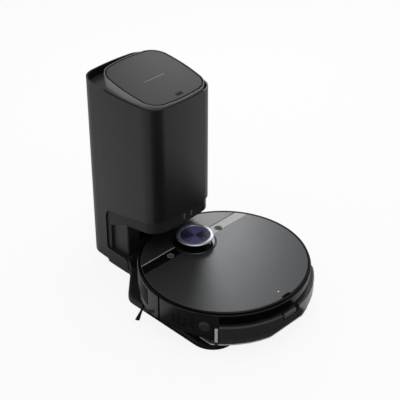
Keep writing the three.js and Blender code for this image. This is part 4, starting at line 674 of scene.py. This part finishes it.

# The ledge between these walls and the lid is matte black: painted shade for the dark gap round
# the lid.
ledge_drop = 0.006
ledge_tilt = 0.6
gap_shade_black = moulded("gap_shade_black", (0.002, 0.002, 0.0021), roughness=0.7, depth=0.1,
                      specular=0.06, rub=0.0)
for walls in [side_wall, bumper_wall, rear_wall]:
    walls.data.materials.append(gap_shade_black)
    ledge_z = max(vertex.co.z for vertex in walls.data.vertices) - ledge_drop
    for face in walls.data.polygons:
        if face.normal.z > ledge_tilt and face.center.z > ledge_z:
            face.material_index = 1
for under in ["robot_chassis", "brush_housing", "brush_guard", "caster_fork"]:
    dress(under, inner_black)
wrap = moulded("battery_wrap", (0.012, 0.016, 0.028), roughness=0.4, depth=0.02, spread_by=0.1)
skin("battery", "robot", wrap, edge=0.0006)
skin("suction_fan", "robot", motor_grey, edge=0.0006)

# ---------------------------------------------------------------- robot lid
# Two sheet-like lids either side of the glossy band, in a dark metallic lacquer whose
# fine flakes catch the light.
lacquer, tree, metal = new_material("dark_lacquer")
place = object_place(tree)
flakes = add_node(tree, "TexVoronoi", {"Vector": place, "Scale": 1800}).outputs["Color"]
settle_marks = noise(tree, place, scale=14, detail=3)
set_inputs(tree, metal, {
    "Base Color": ramp(tree, flakes, (0.090, 0.092, 0.095), (0.118, 0.120, 0.123)),
    "Normal": bump(tree, flakes, strength=0.04, distance=0.0002),
    "Roughness": between(tree, settle_marks, low=0.33, high=0.38),
    "Metallic": 0.9,
})
skin("robot_lid", "robot", lacquer, edge=0.0006)
skin("robot_front_lid", "robot", lacquer, edge=0.0006)


# A square section is turned about the upright axis, for a whole ring or part of one.
def turn_section(form, inner, outer, foot, top, steps, degrees=360):
    corners = [(inner, foot), (outer, foot), (outer, top), (inner, top)]
    profile = [form.verts.new((radius, 0, height)) for radius, height in corners]
    edges = [form.edges.new((profile[i], profile[(i + 1) % 4])) for i in range(4)]
    bmesh.ops.spin(form, geom=profile + edges, cent=(0, 0, 0), axis=(0, 0, 1),
                   angle=math.radians(degrees), steps=steps, use_merge=degrees == 360)


# A matte black ring stands on the ledge round the lid, a little below the lid's face: painted
# shade for the dark gap round the lid.
lid_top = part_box("robot_lid")[1][2]
surround_inner = lid_radius - 0.00005  # it meets the lid without a gap
surround_outer = 0.1755
surround_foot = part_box("robot_side_shell")[1][2] + 0.0005
surround_gap_shade = moulded("surround_gap_shade", (0.0015, 0.0015, 0.0016), roughness=0.4, depth=0.03,
                         specular=0.1, rub=0.0)
form = bmesh.new()
turn_section(form, surround_inner, surround_outer, surround_foot, top=lid_top - 0.0006,
             steps=160)
bmesh.ops.translate(form, verts=form.verts, vec=(0, robot_y, 0))
surround = place_piece("lid_surround", form, "robot", surround_gap_shade)
soften(surround, width=0.0005)

# The lamp dot near the lid's rear edge is the end of a clear light pipe.
lit, tree, lens = new_material("lit_dot")
hazy = noise(tree, object_place(tree), scale=900, detail=2)
haze = ramp(tree, hazy, (0.75, 0.8, 0.9), (1, 1, 1))
set_inputs(tree, lens, {"Base Color": haze, "Emission Color": haze, "Emission Strength": 0.8})
dot_sides = 20
dot_rise = 0.0002
form = bmesh.new()
bmesh.ops.create_circle(form, cap_ends=True, segments=dot_sides, radius=0.0012)
bmesh.ops.extrude_face_region(form, geom=form.faces[:])
for vertex in list(form.verts)[-dot_sides:]:
    vertex.co.z += dot_rise
bmesh.ops.translate(form, verts=form.verts, vec=(-0.0025, robot_y - 0.1506, lid_top))
place_piece("lid_lamp_dot", form, "robot", lit)

# ---------------------------------------------------------------- control band and keys
# A glossy strip is let into the lid on either side of the turret. Each half carries a
# round key, marked with a plain moulded ring and a short bar.
for hand in ["left", "right"]:
    skin(f"control_band_{hand}", "robot", gloss, edge=0.0006)


def block(form, size, centre, turn=0):
    corners = bmesh.ops.create_cube(form, size=1)["verts"]
    bmesh.ops.scale(form, verts=corners, vec=size)
    bmesh.ops.rotate(form, cent=(0, 0, 0), matrix=Matrix.Rotation(math.radians(turn), 3, "Z"),
                     verts=corners)
    bmesh.ops.translate(form, verts=corners, vec=centre)


# Each half has a thin strip on its far side, from the turret's foot to the lid's rim. The pale
# grey one on the left is a painted highlight on the band's edge; the black one on the right is
# painted shade for the gap behind the band.
edge_highlight_grey = moulded("edge_highlight_grey", (0.50, 0.50, 0.51), roughness=0.4, depth=0.02, rub=0.0)
band_back, band_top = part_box("control_band_left")[1][1:]
edging_width = 0.0012
edging_height = 0.0003
edging_inset = 0.0002
edging_start = 0.0430
rim_radius = 0.1700  # just inside the lid's edge
edging_end = math.sqrt(rim_radius ** 2 - (band_back - robot_y) ** 2)
for hand, side, finish, slot in [
    ("left", -1, edge_highlight_grey, "silver"), ("right", 1, gap_shade_black, "dark_shell"),
]:
    form = bmesh.new()
    block(form, size=(edging_end - edging_start, edging_width, edging_height),
          centre=(side * (edging_start + edging_end) / 2, band_back - edging_inset, band_top))
    place_piece(f"band_edge_{hand}", form, "robot", finish)


def middle(node):
    return [(low + high) / 2 for low, high in zip(*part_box(node))]


key_gloss = moulded("key_black", (0.02, 0.02, 0.021), roughness=0.6, depth=0.02, spread_by=0.02,
                    specular=0.3, rub=0.0)
key_mark = moulded("key_mark_grey", (0.20, 0.20, 0.205), roughness=0.5, depth=0.02)
mark_height = 0.00008
bar_width, bar_length = 0.0016, 0.0042
bar_offset = 0.0004
for hand in ["left", "right"]:
    skin(f"button_{hand}", f"key_{hand}", key_gloss, edge=0.0003)
    key_x, key_y, _ = middle(f"button_{hand}")
    key_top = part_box(f"button_{hand}")[1][2]
    form = bmesh.new()
    turn_section(form, inner=0.0054, outer=0.0066, foot=0, top=mark_height, steps=32)
    block(form, size=(bar_width, bar_length, mark_height),
          centre=(0, bar_offset, mark_height / 2))
    bmesh.ops.translate(form, verts=form.verts, vec=(key_x, key_y, key_top))
    place_piece(f"key_mark_{hand}", form, f"key_{hand}", key_mark)

# ---------------------------------------------------------------- laser turret
# A smoked base stands on the lid round the spinning rangefinder. Four posts carry the
# cap, which has a satin silver ring round a spun violet disc.
smoked = polished("smoked_plastic", (0.004, 0.0042, 0.005), roughness=0.10)
skin("turret_base", "robot", smoked, edge=0.0003)
skin("lidar_rotor", "lidar", gloss, edge=0.0002)
skin("turret_cap", "robot", gloss, edge=0.0002)

silver, tree, metal = new_material("satin_silver")
grazed = noise(tree, object_place(tree), scale=500, detail=4)
set_inputs(tree, metal, {
    "Base Color": ramp(tree, grazed, (0.48, 0.50, 0.54), (0.58, 0.60, 0.64)),
    "Roughness": between(tree, grazed, low=0.34, high=0.42),
    "Metallic": 1,
})
skin("turret_ring", "robot", silver, edge=0.0002)

# The disc was turned on a lathe, with fine rings round its middle. The two bright fans across
# it, broken by a few streaks, are a painted reflection in its colour.
painted_fan_bearing = math.radians(45)
disc_x, disc_y, _ = middle("turret_disc")
spun, tree, metal = new_material("spun_violet")
centred = add_node(tree, "Mapping", {
    "Vector": object_place(tree), "Location": (-disc_x, -disc_y, 0),
}).outputs[0]
along = add_node(tree, "SeparateXYZ", {0: centred}).outputs
bearing = maths(tree, "ARCTAN2", along["Y"], along["X"])
from_painted_fan = maths(tree, "ADD", bearing, -painted_fan_bearing)
fans = maths(tree, "COSINE", maths(tree, "MULTIPLY", from_painted_fan, 2))
half = add_node(tree, "MapRange", {"Value": fans, "From Min": -1, "From Max": 1}).outputs[0]
streaks = add_node(tree, "TexNoise", {"W": bearing, "Scale": 7, "Detail": 4},
                   noise_dimensions="1D").outputs["Fac"]
painted_streaks_shifted = maths(tree, "MULTIPLY_ADD", streaks, 1.8, -0.9)
rings = add_node(tree, "TexWave", {"Vector": centred, "Scale": 900}, wave_type="RINGS",
                 rings_direction="Z").outputs["Fac"]
set_inputs(tree, metal, {
    "Base Color": ramp(tree, maths(tree, "ADD", half, painted_streaks_shifted), (0.014, 0.013, 0.042),
                       (0.115, 0.11, 0.26), first_at=0.2, last_at=0.9),
    "Normal": bump(tree, rings, strength=0.12, distance=0.0001),
    "Metallic": 0.4,
    "Roughness": 0.36,
})
skin("turret_disc", "robot", spun, edge=0)

# ---------------------------------------------------------------- water tank
# A smoked, glossy drawer that slides out behind, with a finger recess and its latch, a
# cover over the water side and a pleated filter. A pale strip at each end is a painted
# highlight.
smoked_tank = polished("smoked_tank_wall", (0.024, 0.0245, 0.0255), roughness=0.16,
                       spread_by=0.08, specular=0.9)
skin("tank_body", "tank", smoked_tank, edge=0.001)
cover_black = moulded("cover_black", (0.007, 0.007, 0.0074), roughness=0.35, depth=0.04)
skin("tank_cover", "tank", cover_black, edge=0.0004)
latch_smoke = moulded("latch_smoke", (0.075, 0.076, 0.078), roughness=0.25, depth=0.02,
                      specular=0.8)
skin("tank_latch", "latch", latch_smoke, edge=0.0006)
pleated, tree, paper = new_material("pleated_paper")
folds = add_node(tree, "TexWave", {"Vector": object_place(tree), "Scale": 90},
                 bands_direction="X").outputs["Fac"]
set_inputs(tree, paper, {
    "Base Color": ramp(tree, folds, (0.35, 0.33, 0.28), (0.72, 0.70, 0.64)),
    "Normal": bump(tree, folds, strength=0.9, distance=0.001),
    "Roughness": 0.9,
})
skin("tank_filter", "tank", pleated, edge=0.0005)

# A pale strip stands at each end of the tank: a painted highlight for the bright edge between
# tank and side wall.
strip_painted_highlight = moulded("strip_painted_highlight", (0.42, 0.43, 0.44), roughness=0.3, depth=0.02, rub=0.1)
strip_foot = robot_floor + 0.0165
strip_height = 0.0335
strip_turn = 1.9
left_start = -141.5
right_start = -180 - left_start - strip_turn
for hand, start in [("left", left_start), ("right", right_start)]:
    form = bmesh.new()
    turn_section(form, inner=0.1830, outer=0.1846, foot=strip_foot,
                 top=strip_foot + strip_height, steps=4, degrees=strip_turn)
    bmesh.ops.holes_fill(form, edges=form.edges, sides=4)
    bmesh.ops.rotate(form, cent=(0, 0, 0), matrix=Matrix.Rotation(math.radians(start), 3, "Z"),
                     verts=form.verts)
    bmesh.ops.translate(form, verts=form.verts, vec=(0, robot_y, 0))
    strip = place_piece(f"tank_end_strip_{hand}", form, "tank", strip_painted_highlight)
    soften(strip, width=0.0004)

# ---------------------------------------------------------------- mop
# A bracket clips under the tank and grips the pad, a microfibre cloth with a looped face
# and a bound edge.
# The bracket is a shade paler than the tank: partly its own dark grey, partly a painted
# highlight for the light line along the tank's lower edge.
bracket_black_and_sheen = moulded("bracket_black_and_sheen", (0.034, 0.034, 0.035), roughness=0.32, depth=0.04)
skin("mop_bracket", "tank", bracket_black_and_sheen, edge=0.0007)
pad_low, pad_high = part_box("mop_pad")
pad_room = (
    (pad_low[0] + 0.0001, pad_low[1] + 0.0001, pad_low[2] - 0.0004),
    (pad_high[0] - 0.0001, pad_high[1] - 0.0001, pad_high[2] - 0.00005),
)
pad = filled("mop_pad", "mop_pad_cloth", voxel=0.0022, start_in=0.0004, pressure=4.0,
             bulge=0.0006, room=pad_room)
microfibre = cloth("mop_microfibre", dark=(0.30, 0.31, 0.33), light=(0.62, 0.63, 0.66),
                   threads=150.0, fibres=1600.0, depth=0.9, sheen=0.4)
pad.data.materials.append(microfibre)
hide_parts("mop_pad")
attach(pad, "tank")

# ---------------------------------------------------------------- wheels
# Each drive wheel is a grey hub in a ribbed rubber tyre, on a sprung arm of tough grey
# plastic. The caster under the nose is a small tyred roller.
arm_grey = moulded("arm_grey", (0.15, 0.152, 0.158), roughness=0.45, depth=0.06, rub=0.3)


def tyre_on_hub(name, node, hub_radius):
    material, tree, rubber = new_material(name)
    _, centre_y, centre_z = middle(node)
    place = object_place(tree)
    along = add_node(tree, "SeparateXYZ", {0: place}).outputs
    flat = add_node(tree, "CombineXYZ", {"Y": along["Y"], "Z": along["Z"]}).outputs[0]
    away = add_node(tree, "VectorMath", {0: flat, 1: (0, centre_y, centre_z)},
                    operation="DISTANCE").outputs["Value"]
    on_tyre = maths(tree, "GREATER_THAN", away, hub_radius)
    dust = noise(tree, place, scale=120, detail=5)
    tread = ramp(tree, dust, (0.009, 0.009, 0.009), (0.030, 0.029, 0.028))
    hub_grey = (0.14, 0.142, 0.148, 1)
    set_inputs(tree, rubber, {
        "Base Color": mix_colours(tree, on_tyre, hub_grey, tread),
        "Roughness": between(tree, on_tyre, low=0.42, high=0.85),
        "Normal": bump(tree, dust, strength=0.2, distance=0.0002),
        "Specular IOR Level": 0.35,
    })
    return material


drive_tyre = tyre_on_hub("drive_tyre", "wheel_left", hub_radius=0.0276)
for hand in ["left", "right"]:
    skin(f"wheel_{hand}", f"drive_{hand}", drive_tyre, edge=0.0004)
    skin(f"wheel_arm_{hand}", f"arm_{hand}", arm_grey, edge=0.0006)
caster_tyre = tyre_on_hub("caster_tyre", "caster_wheel", hub_radius=0.0055)
skin("caster_wheel", "caster_roller", caster_tyre, edge=0.0005)

# ---------------------------------------------------------------- brushes
# The main brush has soft rubber fins on a core. Each side brush has two arms that end in
# a tuft of nylon, drawn bristle by bristle over the solid that holds its space.
fin_rubber = moulded("fin_rubber", (0.012, 0.012, 0.0125), roughness=0.6, depth=0.1,
                     grain=1200.0, specular=0.35)
skin("main_brush", "roller_brush", fin_rubber, edge=0.0004)
nylon = moulded("black_nylon", (0.006, 0.006, 0.0062), roughness=0.35, depth=0.0, specular=0.5,
                rub=0.0)
tuft_bristles = 22
root_at, tip_at = 0.038, 0.0735  # from the brush's axis
root_spread, tip_spread = 0.0012, 0.0038  # to either side of the arm
bristle_height = robot_floor + 0.0028
uneven_reach, uneven_height, tip_stray = 0.0038, 0.0009, 0.0002
left_arms = [31.4, 211.4]
right_arms = [180 - bearing for bearing in left_arms]
rng = random.Random(7)
for hand, arm_bearings in [("left", left_arms), ("right", right_arms)]:
    dress(f"side_brush_{hand}", nylon)
    hub_x, hub_y, _ = middle(f"side_brush_{hand}")
    form = bmesh.new()
    for bearing in arm_bearings:
        swing = Matrix.Rotation(math.radians(bearing), 3, "Z")
        for bristle in range(tuft_bristles):
            across = (bristle / (tuft_bristles - 1) - 0.5) * 2
            reach = tip_at + rng.uniform(0, uneven_reach)
            height = bristle_height + rng.uniform(-uneven_height, uneven_height)
            root = Vector((root_at, across * root_spread, height))
            tip_height = height + rng.uniform(-tip_stray, tip_stray)
            tip = Vector((reach, across * tip_spread, tip_height))
            stick = bmesh.ops.create_cone(form, cap_ends=True, segments=5, radius1=0.00032,
                                          radius2=0.0002, depth=(tip - root).length)["verts"]
            lean = (tip - root).to_track_quat("Z", "Y").to_matrix()
            bmesh.ops.rotate(form, cent=(0, 0, 0), matrix=lean, verts=stick)
            bmesh.ops.translate(form, verts=stick, vec=(root + tip) / 2)
            bmesh.ops.rotate(form, cent=(0, 0, 0), matrix=swing, verts=stick)
    bmesh.ops.translate(form, verts=form.verts, vec=(hub_x, hub_y, 0))
    place_piece(f"side_brush_bristles_{hand}", form, f"sweeper_{hand}", nylon)

# ---------------------------------------------------------------- underside
# Two plated charging pads sit under the nose, and cross-head screws of blackened steel
# hold the tray.
tray_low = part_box("robot_chassis")[0][2]
pad_width, pad_length, pad_height = 0.012, 0.022, 0.0004
pad_offset, pad_ahead = 0.052, 0.140
for hand, side in [("left", -1), ("right", 1)]:
    form = bmesh.new()
    block(form, size=(pad_width, pad_length, pad_height),
          centre=(side * pad_offset, robot_y + pad_ahead, tray_low))
    bmesh.ops.bevel(form, geom=form.edges[:], offset=0.0001, offset_type="OFFSET", segments=2,
                    profile=0.5, affect="EDGES", material=-1)
    place_piece(f"charging_pad_{hand}", form, "robot", plated)
screw_steel = moulded("blackened_steel", (0.09, 0.09, 0.095), roughness=0.35, depth=0.03,
                      metal=1.0)
screw_places = [
    (-0.100, 0.078), (0.100, 0.078), (-0.072, -0.036), (0.072, -0.036), (-0.040, 0.100),
    (0.040, 0.100),
]
head_drop = 0.0003
cross_drop = 0.00075
cross_length, cross_width, cross_depth = 0.0034, 0.0006, 0.0002
form = bmesh.new()
for x, y in screw_places:
    head = bmesh.ops.create_cone(form, cap_ends=True, segments=20, radius1=0.0024,
                                 radius2=0.0030, depth=0.0008)["verts"]
    bmesh.ops.translate(form, verts=head, vec=(x, robot_y + y, tray_low - head_drop))
    for turn in [0, 90]:
        block(form, size=(cross_length, cross_width, cross_depth),
              centre=(x, robot_y + y, tray_low - cross_drop), turn=turn)
place_piece("tray_screws", form, "robot", screw_steel)
